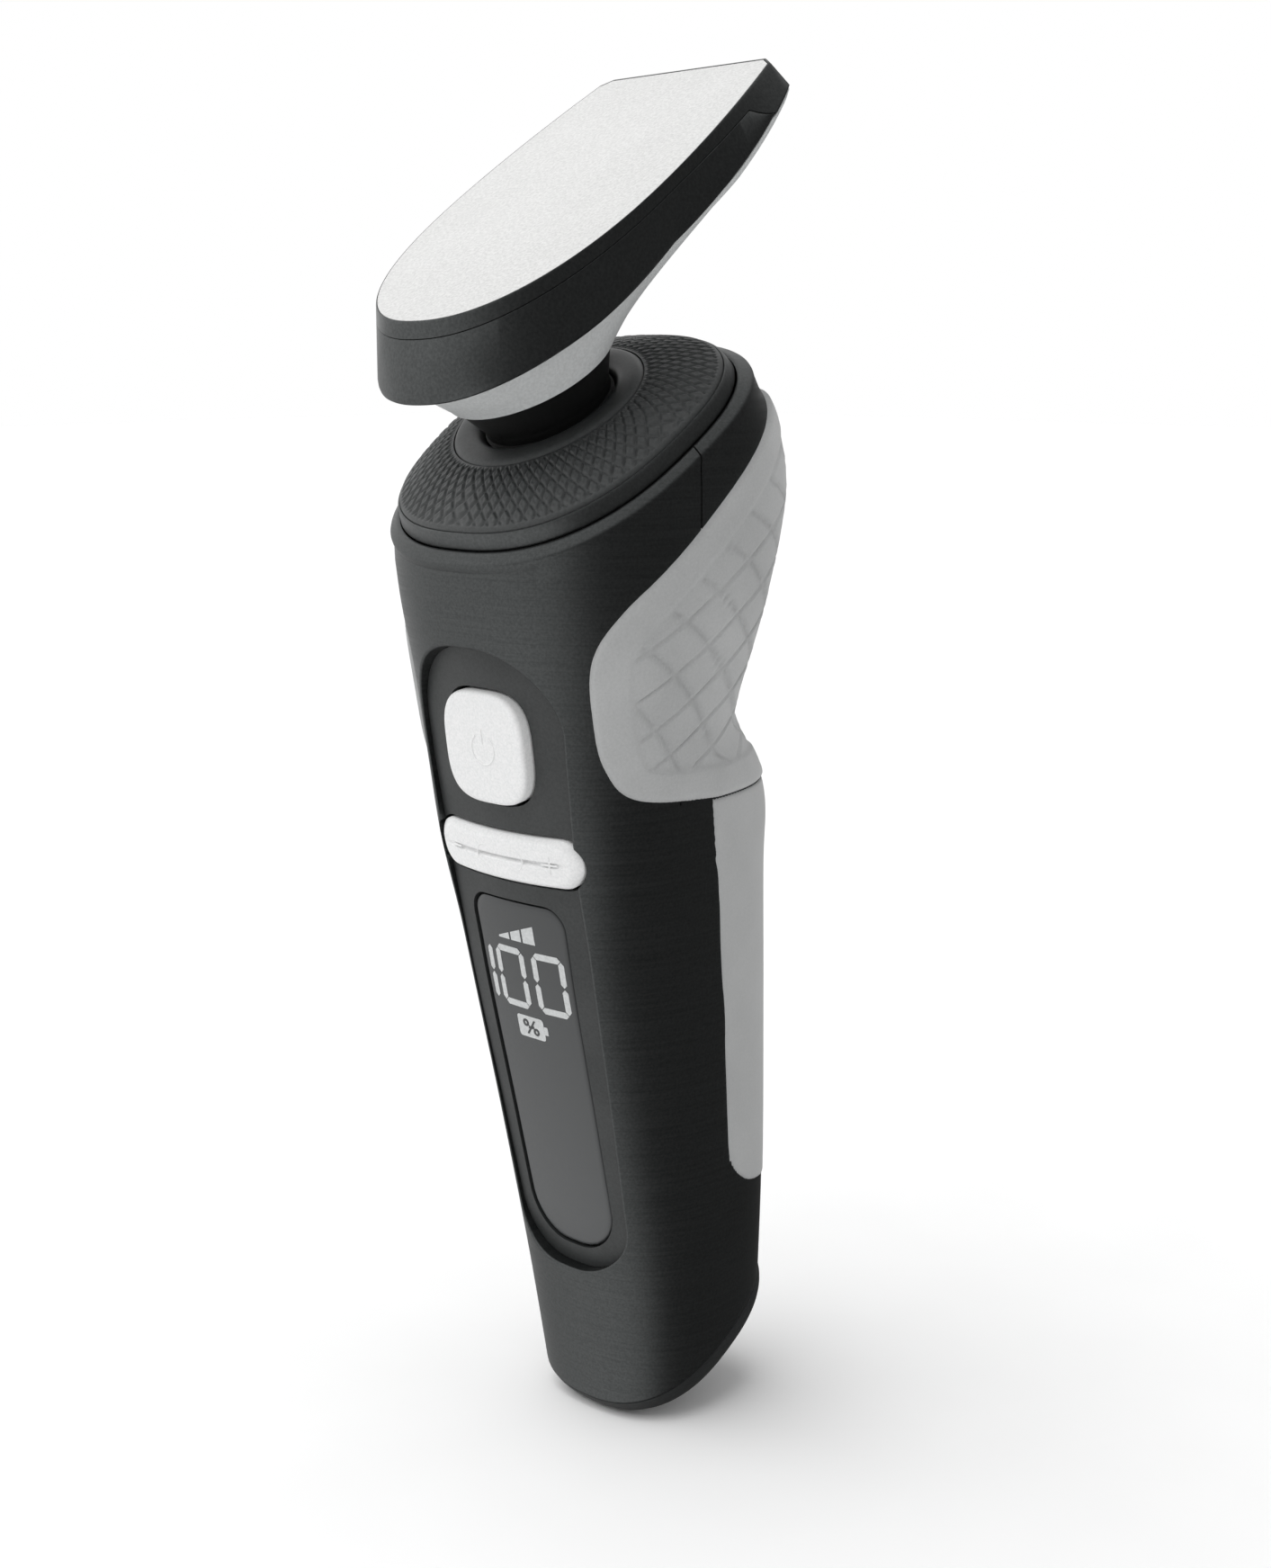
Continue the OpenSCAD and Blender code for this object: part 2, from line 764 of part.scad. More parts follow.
module deck_plate() {
    color("#505355")
        on_deck()
            difference() {
                union() {
                    deck_prism(bay_rx - eps, bay_ry - eps, -deck_t, 0);
                    at_posts()
                        translate([0, 0, -deck_t - gear_gap])
                            cylinder(h = gear_gap + 1, r = post_r, $fn = 32);
                }
                cylinder(h = 40, r = bush_r, center = true, $fn = 64);
                at_posts()
                    translate([0, 0, plate_low])
                        cylinder(h = 5.5, r = screw_r, $fn = 32);
            }
}

module drive_bush() {
    color("#b08d3c")
        on_deck()
            translate([0, 0, -deck_t])
                difference() {
                    cylinder(h = deck_t + 2.5, r = bush_r, $fn = 64);
                    translate([0, 0, -1])
                        cylinder(h = deck_t + 5, r = shaft_r + run_gap, $fn = 64);
                }
}

module gear_plate() {
    color("#6a6d70")
        on_deck(h = plate_low)
            difference() {
                translate([-post_x - 2.2, post_v[0] - 2.2, 0])
                    cube([2 * post_x + 4.4, post_v[1] - post_v[0] + 4.4, 1.5]);
                cylinder(h = 10, r = shaft_r + run_gap, center = true, $fn = 64);
                translate([0, -gear_centre, 0])
                    cylinder(h = 10, r = 2, center = true, $fn = 48);
                at_posts()
                    cylinder(h = 10, r = screw_r, center = true, $fn = 32);
            }
}

module gear_screws() {
    color("#a8abad")
        on_deck(h = plate_low)
            at_posts()
                difference() {
                    union() {
                        cylinder(h = 5.5, r = screw_r, $fn = 32);
                        translate([0, 0, -1])
                            cylinder(h = 1, r = 1.6, $fn = 32);
                    }
                    translate([-1, -0.2, -1.1])
                        cube([2, 0.4, 0.5]);
                }
}

motor_shaft_r = 0.75;
module motor() {
    color("#b4b6b8")
        on_deck(v = -gear_centre, h = plate_low - motor_l)
            difference() {
                union() {
                    cylinder(h = motor_l, r = motor_r, $fn = 64);
                    translate([0, 0, -1.2])
                        cylinder(h = 1.5, r = 2.5, $fn = 48);
                }
                translate([0, 0, motor_l - 6])
                    cylinder(h = 10, r = motor_shaft_r + run_gap, $fn = 48);
            }
}

module motor_shaft() {
    color("#d5d7d8")
        on_deck(v = -gear_centre, h = plate_low - 5)
            cylinder(h = 5 + 1.5 + gear_gap - 0.3, r = motor_shaft_r, $fn = 48);
}

// Involute spur gear outline with stub teeth, a tooth centred on the angle phase
stub = 0.8;
backlash = 0.08;
pressure = 20;
function involute(a) = tan(a) * 180 / PI - a;
module gear_outline(teeth, phase) {
    r = gear_m * teeth / 2;
    rb = r * cos(pressure);
    low = r - (stub + 0.25) * gear_m;
    high = r + stub * gear_m;
    half = 90 / teeth - backlash / r * 28.65 + involute(pressure);
    flank = [for (k = [0 : 4]) let (q = mix(max(rb, low), high, k / 4)) [q, half - involute(acos(min(1, rb / q)))]];
    points = [for (i = [0 : teeth - 1]) each let (c = phase + 360 * i / teeth) concat(
        [[low, c - flank[0][1]]],
        [for (f = flank) [f[0], c - f[1]]],
        [for (k = [4 : -1 : 0]) [flank[k][0], c + flank[k][1]]],
        [[low, c + flank[0][1]]])];
    polygon([for (p = points) [p[0] * cos(p[1]), p[0] * sin(p[1])]]);
}

gear_low = plate_low + 1.5 + 0.4;
gear_t = gear_gap - 0.8;
module motor_pinion() {
    color("#c9a24a")
        on_deck(v = -gear_centre, h = gear_low)
            difference() {
                linear_extrude(height = gear_t)
                    gear_outline(pinion_teeth, 90 + 180 / pinion_teeth);
                cylinder(h = 20, r = motor_shaft_r, center = true, $fn = 48);
            }
}

module drive_gear() {
    color("#dcdcd2")
        on_deck(h = gear_low)
            difference() {
                linear_extrude(height = gear_t)
                    gear_outline(gear_teeth, -90);
                cylinder(h = 20, r = shaft_r, center = true, $fn = 64);
            }
}

hex_r = 1.9;
hex_low = disc_h + 2.3;
hex_high = hex_low + 4;
module drive_shaft() {
    color("#cfd1d2")
        on_deck() {
            translate([0, 0, plate_low])
                cylinder(h = hex_low - plate_low, r = shaft_r, $fn = 64);
            translate([0, 0, hex_low])
                cylinder(h = hex_high - hex_low, r = hex_r, $fn = 6);
        }
}

// ---- Trimmer head --------------------------------------------------------------------------------
v_wide = 15;
front_power = 2.3;
plate_back = head_back - 1.6;
tip_v = head_back - 4;

function head_half(v) = head_w * (1 - 0.21 * pow(max(0, v - v_wide) / (head_back - v_wide), 1.8));
function head_outline(inset, back) = concat(
    [for (k = [1 : 7]) let (v = mix(v_wide, back - inset - 1.2, k / 7)) [head_half(v) - inset, v]],
    [[head_half(back) - inset - 1.1, back - inset], [0, back - inset], [inset + 1.1 - head_half(back), back - inset]],
    [for (k = [7 : -1 : 1]) let (v = mix(v_wide, back - inset - 1.2, k / 7)) [inset - head_half(v), v]],
    [for (k = [0 : 18]) let (t = 180 + 10 * k)
        [(head_w - inset) * power_sign(cos(t), front_power),
         v_wide + (v_wide + head_front - inset) * power_sign(sin(t), front_power)]]);

function side_depth(v) = mix(side_front, side_tip, max(0, v - 4) / (head_back - 4));
function bezel_depth(v) = v > tip_v ? side_depth(v) + 2 : 2 + 0.022 * (v + head_front);
// Point straight below a point of the head's outline
function head_point(p, drop) = deck_point(p[0], p[1], head_h) - [0, 0, drop];
function head_ring(inset, more) = [for (p = head_outline(inset, head_back)) head_point(p, side_depth(p[1]) + more)];

module head_space(inset) {
    skin([head_ring(inset, 6), [for (p = head_outline(inset, head_back)) head_point(p, -3)]]);
}

module bezel_space(grow) {
    skin([[for (p = head_outline(-grow, head_back)) head_point(p, bezel_depth(p[1]))],
          [for (p = head_outline(-grow, head_back)) head_point(p, -2)]]);
}

module head_prism(inset, back, low, high) {
    on_deck(h = low)
        linear_extrude(height = high - low)
            polygon(head_outline(inset, back));
}

blade_slot = [head_h - 2.9, head_h - 1.7];
module blade_cut() {
    on_deck(v = tip_v - 4, h = blade_slot[0])
        translate([-11.6, 0, 0])
            cube([23.2, 20, blade_slot[1] - blade_slot[0]]);
}

module outer_head() {
    skin([head_ring(0.5, 0), head_ring(0, -1), [for (p = head_outline(0, head_back)) head_point(p, 0)]]);
}

module trimmer_plate() {
    color("#dededd")
        head_prism(0.25, plate_back, head_h - plate_t, head_h);
}

module trimmer_bezel() {
    color("#2b2d2e")
    free_form()
        difference() {
            intersection() {
                outer_head();
                bezel_space(1);
            }
            head_space(head_wall);
            head_prism(0.25, plate_back, head_h - plate_t, head_h + 1);
            blade_cut();
        }
}

module trimmer_side() {
    color("#333536")
    free_form()
        difference() {
            outer_head();
            bezel_space(1);
            head_space(head_wall);
        }
}

// Shell under the head: from the side's lower edge down to the round funnel on the neck
neck_top = disc_h + 8.5;
function funnel_ring(base, t, h_shift, r) = [for (p = base) let (
        a = atan2(p[1] - 9, p[0]),
        q = deck_point(r * cos(a), r * sin(a), neck_top),
        w = head_point(p, side_depth(p[1]) + h_shift))
    mix(w, q, t)];
module funnel(inset, up, r) {
    o = head_outline(inset, head_back);
    p = head_outline(inset + 1, head_back);
    skin([funnel_ring(p, 1, 0, r), funnel_ring(p, 0.82, 1.5 - up, r), funnel_ring(p, 0.55, 1.9 - up, r),
          funnel_ring(p, 0.25, 1.8 - up, r), funnel_ring(p, 0, 1.5 - up, r), funnel_ring(o, 0, -up, r)]);
}

module trimmer_base() {
    color("#a9abac")
    free_form()
        difference() {
            funnel(0.6, 0, funnel_r);
            funnel(0.6 + head_wall, head_wall, funnel_r - head_wall);
            on_deck(h = neck_top - 2)
                cylinder(h = 5, r = funnel_r - 2.4, $fn = 64);
        }
}

neck_r = socket_r - 0.3;
spigot_low = collar_top - 2;
floor_t = 1.5;
module trimmer_neck() {
    color("#151616")
        on_deck()
            difference() {
                union() {
                    translate([0, 0, spigot_low])
                        cylinder(h = collar_top + 0.4 - spigot_low, r = neck_r, $fn = 96);
                    translate([0, 0, collar_top + 0.4])
                        cylinder(h = neck_top - collar_top - 0.4, r1 = neck_r, r2 = funnel_r - 0.4, $fn = 96);
                }
                translate([0, 0, spigot_low - 1])
                    cylinder(h = neck_top - floor_t - spigot_low + 1, r = neck_r - 1.6, $fn = 64);
                cylinder(h = 60, r = shaft_r + run_gap, center = true, $fn = 64);
                seal_torus();
            }
}

module seal_torus() {
    translate([0, 0, spigot_low + 1])
        rotate_extrude($fn = 96)
            translate([neck_r - 0.3, 0])
                circle(r = 0.5, $fn = 32);
}

module neck_seal() {
    color("#3b1f1c")
        on_deck()
            seal_torus();
}

frame_low = head_h - 6.4;
frame_t = 1;
lever_v = 14;
lever_low = frame_low + frame_t + 1.2;
lever_t = 1;
lever_pin_r = 1.2;
eccentric = 0.6;
eccentric_r = 0.7;
module trimmer_frame() {
    color("#5c5f61")
        difference() {
            free_form()
                intersection() {
                    head_space(head_wall);
                    on_deck(v = 6, h = frame_low)
                        translate([-30, -30, 0])
                            cube([60, 49, frame_t]);
                }
            on_deck()
                cylinder(h = 90, r = shaft_r + run_gap, center = true, $fn = 64);
            on_deck(v = lever_v)
                cylinder(h = 90, r = lever_pin_r, center = true, $fn = 48);
        }
}

module lever_pin() {
    color("#c4c6c7")
        on_deck(v = lever_v, h = frame_low)
            cylinder(h = lever_low + lever_t + 0.4 - frame_low, r = lever_pin_r, $fn = 48);
}

module eccentric_spindle() {
    color("#c0c2c4")
        on_deck()
            difference() {
                union() {
                    translate([0, 0, hex_low + 0.8])
                        cylinder(h = neck_top - floor_t - 0.1 - hex_low - 0.8, r = 3.1, $fn = 64);
                    translate([0, 0, hex_low + 2])
                        cylinder(h = frame_low + frame_t + 0.1 - hex_low - 2, r = shaft_r, $fn = 64);
                    translate([0, 0, frame_low + frame_t + 0.1])
                        cylinder(h = 0.8, r = 2.4, $fn = 64);
                    translate([0, eccentric, frame_low + frame_t + 0.1])
                        cylinder(h = 3, r = eccentric_r, $fn = 32);
                }
                cylinder(h = hex_high + 0.3, r = hex_r + 0.25, $fn = 6);
            }
}

lever_reach = tip_v - 5 - lever_v;
swing_room = 0.68;
fork_half = eccentric_r + eccentric + swing_room;
follower_r = 0.9;
module drive_lever() {
    color("#e0ded2")
        on_deck(v = lever_v, h = lever_low)
            difference() {
                union() {
                    cylinder(h = lever_t, r = 3.2, $fn = 48);
                    translate([-2, 0, 0])
                        cube([4, lever_reach + 1.5, lever_t]);
                    translate([-fork_half - 1.6, -lever_v - 3.4, 0])
                        cube([2 * fork_half + 3.2, lever_v + 2, lever_t]);
                    translate([0, lever_reach, 0])
                        cylinder(h = blade_slot[0] + 0.5 - lever_low + 0.2, r = follower_r, $fn = 32);
                }
                cylinder(h = 10, r = lever_pin_r + run_gap, center = true, $fn = 48);
                translate([-fork_half, -lever_v - 4, -1])
                    cube([2 * fork_half, 7.5, 4]);
            }
}

blade_t = 0.5;
comb_half = 11.5;
cutter_half = comb_half - cutter_stroke - 0.2;
module toothed_blade(half, low, reach, tooth) {
    linear_extrude(height = blade_t)
        union() {
            translate([-half, low])
                square([2 * half, reach - 2 - low]);
            for (k = [-floor(half / tooth_pitch) + 1 : floor(half / tooth_pitch) - 1])
                translate([k * tooth_pitch - tooth / 2, reach - 2.2])
                    square([tooth, 2.2]);
        }
}

module comb_blade() {
    color("#c8cacb")
        on_deck(h = blade_slot[1] - blade_t)
            toothed_blade(comb_half, tip_v - 1.5, head_back + 1.2, 0.7);
}

module cutter_blade() {
    color("#d2d4d5")
        on_deck(h = blade_slot[1] - 2 * blade_t - 0.1)
            difference() {
                union() {
                    toothed_blade(cutter_half, tip_v - 2, head_back + 0.9, 0.7);
                    linear_extrude(height = blade_t)
                        translate([-3, tip_v - 7.2])
                            square([6, 5.4]);
                }
                translate([-follower_r - run_gap, tip_v - 6.4, -1])
                    cube([2 * (follower_r + run_gap), 2.8, 3]);
            }
}

front_shell();
rear_shell();
rubber_grip();
back_cover();
bottom_cap();
charging_socket();
front_panel();
display_window();
display_module();
display_symbols();
power_button();
power_spring();
menu_bar();
menu_pin();
key_carrier();
tact_switches();
circuit_board();
battery_cell();
battery_contacts();
chassis();
deck_ring();
knurled_disc();
collar_ring();
deck_plate();
gear_plate();
gear_screws();
motor();
motor_shaft();
motor_pinion();
drive_gear();
drive_shaft();
drive_bush();
trimmer_neck();
neck_seal();
trimmer_base();
trimmer_side();
trimmer_bezel();
trimmer_plate();
trimmer_frame();
eccentric_spindle();
lever_pin();
drive_lever();
comb_blade();
cutter_blade();
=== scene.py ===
"""Electric shaver: the visible pieces, finishes and studio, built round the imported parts.

Metres, +Z up, display side towards -Y. The handle's sections, the deck and the trimmer head all lean back by
the same slant, so most pieces are laid out on the deck's own axes or on the handle's skin.
"""

import math

import bpy
import numpy as np
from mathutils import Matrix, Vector


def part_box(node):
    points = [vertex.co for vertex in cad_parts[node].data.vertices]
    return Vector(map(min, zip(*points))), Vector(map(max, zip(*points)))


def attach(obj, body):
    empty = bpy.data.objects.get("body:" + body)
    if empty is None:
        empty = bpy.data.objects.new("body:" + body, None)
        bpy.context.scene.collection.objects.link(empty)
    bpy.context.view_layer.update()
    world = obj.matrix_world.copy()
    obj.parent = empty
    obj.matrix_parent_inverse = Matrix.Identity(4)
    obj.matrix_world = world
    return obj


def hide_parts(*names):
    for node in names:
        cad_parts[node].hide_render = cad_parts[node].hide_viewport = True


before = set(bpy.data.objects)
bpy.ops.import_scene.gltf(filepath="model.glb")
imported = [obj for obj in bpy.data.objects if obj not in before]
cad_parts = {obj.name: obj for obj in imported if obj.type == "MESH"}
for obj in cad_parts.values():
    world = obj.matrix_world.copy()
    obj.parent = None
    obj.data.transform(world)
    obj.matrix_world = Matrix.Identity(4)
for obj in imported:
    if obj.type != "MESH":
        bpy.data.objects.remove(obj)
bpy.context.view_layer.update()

bl_info = {
    "name": "Electric Shaver",
    "version": (1, 0, 0),
    "blender": (4, 5, 0),
    "location": "View3D > Sidebar > Shaver",
    "description": "Models the shaver's shells, grip, keys, deck, trimmer head and studio",
    "category": "Object",
}

MM = 0.001
TAU = 2 * math.pi
MERGE_GAP = 0.001 * MM

# ---- Driving sizes, in metres --------------------------------------------------------------------
SLANT = math.radians(33)
CS, SN = math.cos(SLANT), math.sin(SLANT)
HANDLE_H = 122 * MM
HANDLE_W = 42.6 * MM
HANDLE_D = 50 * MM
WALL = 2.6 * MM
SQUARENESS = 2.5
# Shares of the handle's height, depth, half width and half depth, from the foot to the deck
SECTION_SHARES = (
    (0.082, 0.187, 0.629, 0.604), (0.216, 0.156, 0.704, 0.644), (0.389, 0.107, 0.751, 0.732),
    (0.520, 0.066, 0.789, 0.800), (0.581, 0.050, 0.812, 0.836), (0.619, 0.020, 0.826, 0.812),
    (0.669, -0.038, 0.850, 0.744), (0.709, -0.059, 0.869, 0.736), (0.799, -0.020, 0.925, 0.904),
    (0.886, -0.007, 0.981, 1.000), (0.949, -0.043, 1.000, 0.988), (0.989, -0.083, 0.998, 0.925),
    (1.000, -0.088, 0.948, 0.860))
SHARE_SIZES = np.array((HANDLE_H, HANDLE_D, HANDLE_W / 2, HANDLE_D / 2))
STATIONS = np.array(SECTION_SHARES) * SHARE_SIZES
RIM = STATIONS[-1]

PANEL_DROP = 1.9 * MM
PANEL_R = 45 * MM
PANEL_T = 1.6 * MM
POWER_Z = 89 * MM
BAR_Z = 75.6 * MM
DIGIT_Z = 59.4 * MM
LEDGE_Z = 82.5 * MM
SEAM_Y = -5 * MM
PATCH_T = 0.7 * MM
INLET_R = 3.32 * MM
BAR_LENGTH = 24.6 * MM
BAR_H = 6.1 * MM
BAR_GAP = 0.4 * MM

DISC_H = 4.3 * MM
DISC_RISE = 3.2 * MM
COLLAR_R = 12.2 * MM
SOCKET_R = 8.3 * MM
FUNNEL_R = 10.6 * MM
COLLAR_TOP = DISC_H + DISC_RISE + 0.5 * MM
NECK_TOP = DISC_H + 8.5 * MM
DISC_RX = RIM[2] - 1.3 * MM
DISC_RY = RIM[3] - 1.5 * MM

HEAD_H = 26.8 * MM
HEAD_W = 16.8 * MM
HEAD_FRONT = 12.1 * MM
HEAD_BACK = 44.2 * MM
PLATE_BACK = HEAD_BACK - 0.25 * MM
HEAD_TURN = math.radians(3.2)
TIP_V = HEAD_BACK - 4 * MM
V_WIDE = 15 * MM

# Camera: its place in metres, its tilt and turn, and its lens in millimetres
CAMERA_PLACE = (0.19457, -0.19508, 0.13609)
CAMERA_TILT = math.radians(78.87)
CAMERA_TURN = math.radians(44.02)
FOCAL_LENGTH = 52.05


# ---- Shape of the handle -------------------------------------------------------------------------
def section(s):
    """Height, y, half width and half depth of the handle at places s along its stations."""
    s = np.clip(np.asarray(s, float), 0, len(STATIONS) - 1)
    bent = len(STATIONS) - 2
    k = np.minimum(s.astype(int), len(STATIONS) - 2)
    t = (s - k)[..., None]
    a, b = STATIONS[np.maximum(k - 1, 0)], STATIONS[k]
    c, d = STATIONS[k + 1], STATIONS[np.minimum(k + 2, bent)]
    curve = 0.5 * (2 * b + (c - a) * t + (2 * a - 5 * b + 4 * c - d) * t**2 + (3 * b - 3 * c + d - a) * t**3)
    return np.where(k[..., None] < bent, curve, b + (c - b) * t)


def signed_power(value, n):
    """A superellipse's sine or cosine."""
    return np.sign(value) * np.abs(value) ** (2 / n)


def skin_point(s, t, g=0.0, h=0.0):
    """Point on the handle's skin at station s and angle t, grown outwards by g and moved up by h."""
    z, y, rx, ry = np.moveaxis(section(s), -1, 0)
    x = (rx + g) * signed_power(np.cos(t), SQUARENESS)
    v = (ry + g / CS) * signed_power(np.sin(t), SQUARENESS)
    return np.stack(np.broadcast_arrays(x, y + v * CS - h * SN, z + v * SN + h * CS), -1)


S_FINE = np.linspace(0, len(STATIONS) - 1, 600)
FRONT_LINE = skin_point(S_FINE, -TAU / 4)


def front_y(z):
    """The foremost point of the handle at height z."""
    return np.interp(z, FRONT_LINE[:, 2], FRONT_LINE[:, 1])


def panel_point(x, z, depth=0.0):
    """Point on the control panel's curved surface, or behind it by depth."""
    y = front_y(z) + PANEL_DROP + np.square(x) / (2 * PANEL_R) + depth
    return np.stack(np.broadcast_arrays(x, y, z), -1)


def panel_axes(z):
    """Origin on the panel at height z, with its directions up along it and out of it."""
    lean = math.atan((front_y(z - 3 * MM) - front_y(z + 3 * MM)) / (6 * MM))
    up = np.array((0, -math.sin(lean), math.cos(lean)))
    out = np.array((0, -math.cos(lean), -math.sin(lean)))
    return panel_point(0, z), up, out


def skin_front(x, z):
    """The y of the handle's skin in front of (x, z), found along the slanted sections."""
    x, z = np.broadcast_arrays(np.asarray(x, float), np.asarray(z, float))
    rows = section(S_FINE)
    found = np.empty(x.shape)
    for i in np.ndindex(x.shape):
        share = np.clip(np.abs(x[i]) / rows[:, 2], 0, 1) ** SQUARENESS
        v = -rows[:, 3] * (1 - share) ** (1 / SQUARENESS)
        found[i] = np.interp(z[i], rows[:, 0] + v * SN, rows[:, 1] + v * CS)
    return found


def deck_point(x, v, h):
    """Point on the deck's axes: v up its slope from the rim's centre, h square to it."""
    return np.stack(np.broadcast_arrays(x, RIM[1] + v * CS - h * SN, RIM[0] + v * SN + h * CS), -1)


def deck_ring_points(rx, ry, n, h, count):
    """One closed ring on the deck's axes."""
    t = np.arange(count) * TAU / count
    return deck_point(rx * signed_power(np.cos(t), n), ry * signed_power(np.sin(t), n), h)


# ---- Outlines ------------------------------------------------------------------------------------
def smooth_line(points, steps):
    """Catmull-Rom curve through points."""
    p = np.array(points, float)
    out = []
    for k in range(len(p) - 1):
        a, b, c, d = p[max(k - 1, 0)], p[k], p[k + 1], p[min(k + 2, len(p) - 1)]
        for t in np.arange(steps) / steps:
            out.append(0.5 * (2 * b + (c - a) * t + (2 * a - 5 * b + 4 * c - d) * t**2
                              + (3 * b - 3 * c + d - a) * t**3))
    return np.array(out + [p[-1]])


def corner(cx, cz, rx, rz, start, steps=12):
    """Quarter of an ellipse round (cx, cz), from the start angle in degrees."""
    t = np.radians(start + 90 * np.arange(steps + 1) / steps)
    return np.stack((cx + rx * np.cos(t), cz + rz * np.sin(t)), -1)


def taper_outline(w_low, w_top, low, top, r_low, r_top):
    """Outline with rounded ends and sides that widen upwards; r_low and r_top are (across, along)."""
    return np.concatenate((
        corner(w_top - r_top[0], top - r_top[1], *r_top, 0),
        corner(r_top[0] - w_top, top - r_top[1], *r_top, 90),
        corner(r_low[0] - w_low, low + r_low[1], *r_low, 180),
        corner(w_low - r_low[0], low + r_low[1], *r_low, 270))) * MM


def even_outline(points, spacing):
    """The same closed outline with evenly spaced points."""
    p = np.vstack((points, points[:1]))
    run = np.concatenate(([0], np.cumsum(np.linalg.norm(np.diff(p, axis=0), axis=1))))
    at = np.linspace(0, run[-1], int(run[-1] / spacing) + 1)[:-1]
    return np.stack([np.interp(at, run, p[:, i]) for i in (0, 1)], -1)


def outward(points):
    """Unit directions out of a closed outline that runs anticlockwise."""
    along = np.roll(points, -1, 0) - np.roll(points, 1, 0)
    along /= np.linalg.norm(along, axis=1)[:, None]
    return np.stack((along[:, 1], -along[:, 0]), -1)


def superellipse(a, b, n, count):
    """Closed outline between an ellipse and a rectangle."""
    t = np.arange(count) * TAU / count
    return np.stack((a * signed_power(np.cos(t), n), b * signed_power(np.sin(t), n)), -1)


def stadium(half_length, r):
    """Bar with round ends, as a closed outline."""
    t = np.radians(np.arange(-90, 91, 10))
    right = np.stack((half_length - r + r * np.cos(t), r * np.sin(t)), -1)
    return np.concatenate((right, -right))


def inside_distance(points, outline):
    """Distance of each point from a closed outline, positive inside it."""
    best = np.full(len(points), 1e9)
    inside = np.zeros(len(points), bool)
    for a, b in zip(outline, np.roll(outline, -1, 0)):
        ab, ap = b - a, points - a
        t = np.clip((ap @ ab) / max(ab @ ab, 1e-18), 0, 1)
        best = np.minimum(best, np.linalg.norm(ap - t[:, None] * ab, axis=1))
        crosses = (a[1] > points[:, 1]) != (b[1] > points[:, 1])
        with np.errstate(divide="ignore", invalid="ignore"):
            inside ^= crosses & (points[:, 0] < a[0] + (points[:, 1] - a[1]) / (b[1] - a[1]) * ab[0])
    return np.where(inside, best, -best)


FAR = 100.0
GRIP_EDGE = smooth_line(((13.2, 129.6), (1.4, 120.2), (-10.2, 110.3), (-14.9, 105.6), (-17, 100.6),
                         (-16.2, 93.2), (-14.7, 87.6), (-11.6, 84), (-3.6, 82.9)), 8)
GRIP_OUTLINE = np.concatenate((GRIP_EDGE, ((2, 82.5), (FAR, 82.5), (FAR, 130.5), (17, 130.5)))) * MM
COVER_EDGE = smooth_line(((0.8, 82.4), (3.1, 67.5), (5.2, 53.5), (6.4, 40), (7.4, 34.6),
                          (10.8, 31.3), (15.5, 30.2)), 8)
COVER_OUTLINE = np.concatenate((COVER_EDGE, ((FAR, 30), (FAR, 82.4)))) * MM
PANEL_OUTLINE = even_outline(taper_outline(9.6, 12.1, 20.3, 101, (8.4, 7), (10.5, 9.5)), 0.8 * MM)
WINDOW_OUTLINE = even_outline(taper_outline(7.1, 7.8, 23.2, 69.6, (6, 6), (2.6, 2.6)), 0.5 * MM)


# ---- Mesh building -------------------------------------------------------------------------------
def show_only(obj):
    """Selects one object and makes it active."""
    bpy.ops.object.select_all(action="DESELECT")
    obj.select_set(True)
    bpy.context.view_layer.objects.active = obj


def new_object(name, verts, faces):
    """A mesh object from points and faces."""
    mesh = bpy.data.meshes.new(name)
    mesh.from_pydata([tuple(v) for v in verts], [], [tuple(int(i) for i in f) for f in faces])
    obj = bpy.data.objects.new(name, mesh)
    bpy.context.scene.collection.objects.link(obj)
    show_only(obj)
    return obj


def in_edit_mode(obj, *steps):
    """Runs edit-mode operators on all of the object's mesh."""
    show_only(obj)
    bpy.ops.object.mode_set(mode="EDIT")
    bpy.ops.mesh.select_all(action="SELECT")
    for operator, options in steps:
        operator(**options)
    bpy.ops.object.mode_set(mode="OBJECT")


def close_up(obj):
    """Merges doubles and turns the faces outwards."""
    in_edit_mode(obj, (bpy.ops.mesh.remove_doubles, {"threshold": MERGE_GAP}),
                 (bpy.ops.mesh.normals_make_consistent, {"inside": False}))


def apply_modifier(obj, kind, **settings):
    """Adds one modifier with its settings and applies it."""
    show_only(obj)
    modifier = obj.modifiers.new(kind.title(), kind)
    for key, value in settings.items():
        setattr(modifier, key, value)
    bpy.ops.object.modifier_apply(modifier=modifier.name)


def cut(obj, cutter, operation="DIFFERENCE"):
    """Cuts one closed shape with another, and removes the cutter."""
    apply_modifier(obj, "BOOLEAN", operation=operation, solver="EXACT", object=cutter)
    bpy.data.objects.remove(cutter)


def lofted(name, rings, loop=False):
    """Skin over rings with equal numbers of points.

    Loop joins the last ring to the first; otherwise each end is closed by a fan round its middle point.
    """
    rings = np.array(rings)
    m, n = rings.shape[:2]
    verts = [rings.reshape(-1, 3)]
    i = np.arange(n)
    j = (i + 1) % n
    faces = []
    for k in range(m if loop else m - 1):
        a, b = k * n, (k + 1) % m * n
        faces += np.stack((a + i, a + j, b + j, b + i), -1).tolist()
    if not loop:
        for middle, ring, base in ((m * n, rings[0], 0), (m * n + 1, rings[-1], (m - 1) * n)):
            verts.append(ring.mean(0)[None])
            faces += [(base + a, base + b, middle) for a, b in zip(i, j)]
    obj = new_object(name, np.concatenate(verts), faces)
    close_up(obj)
    return obj


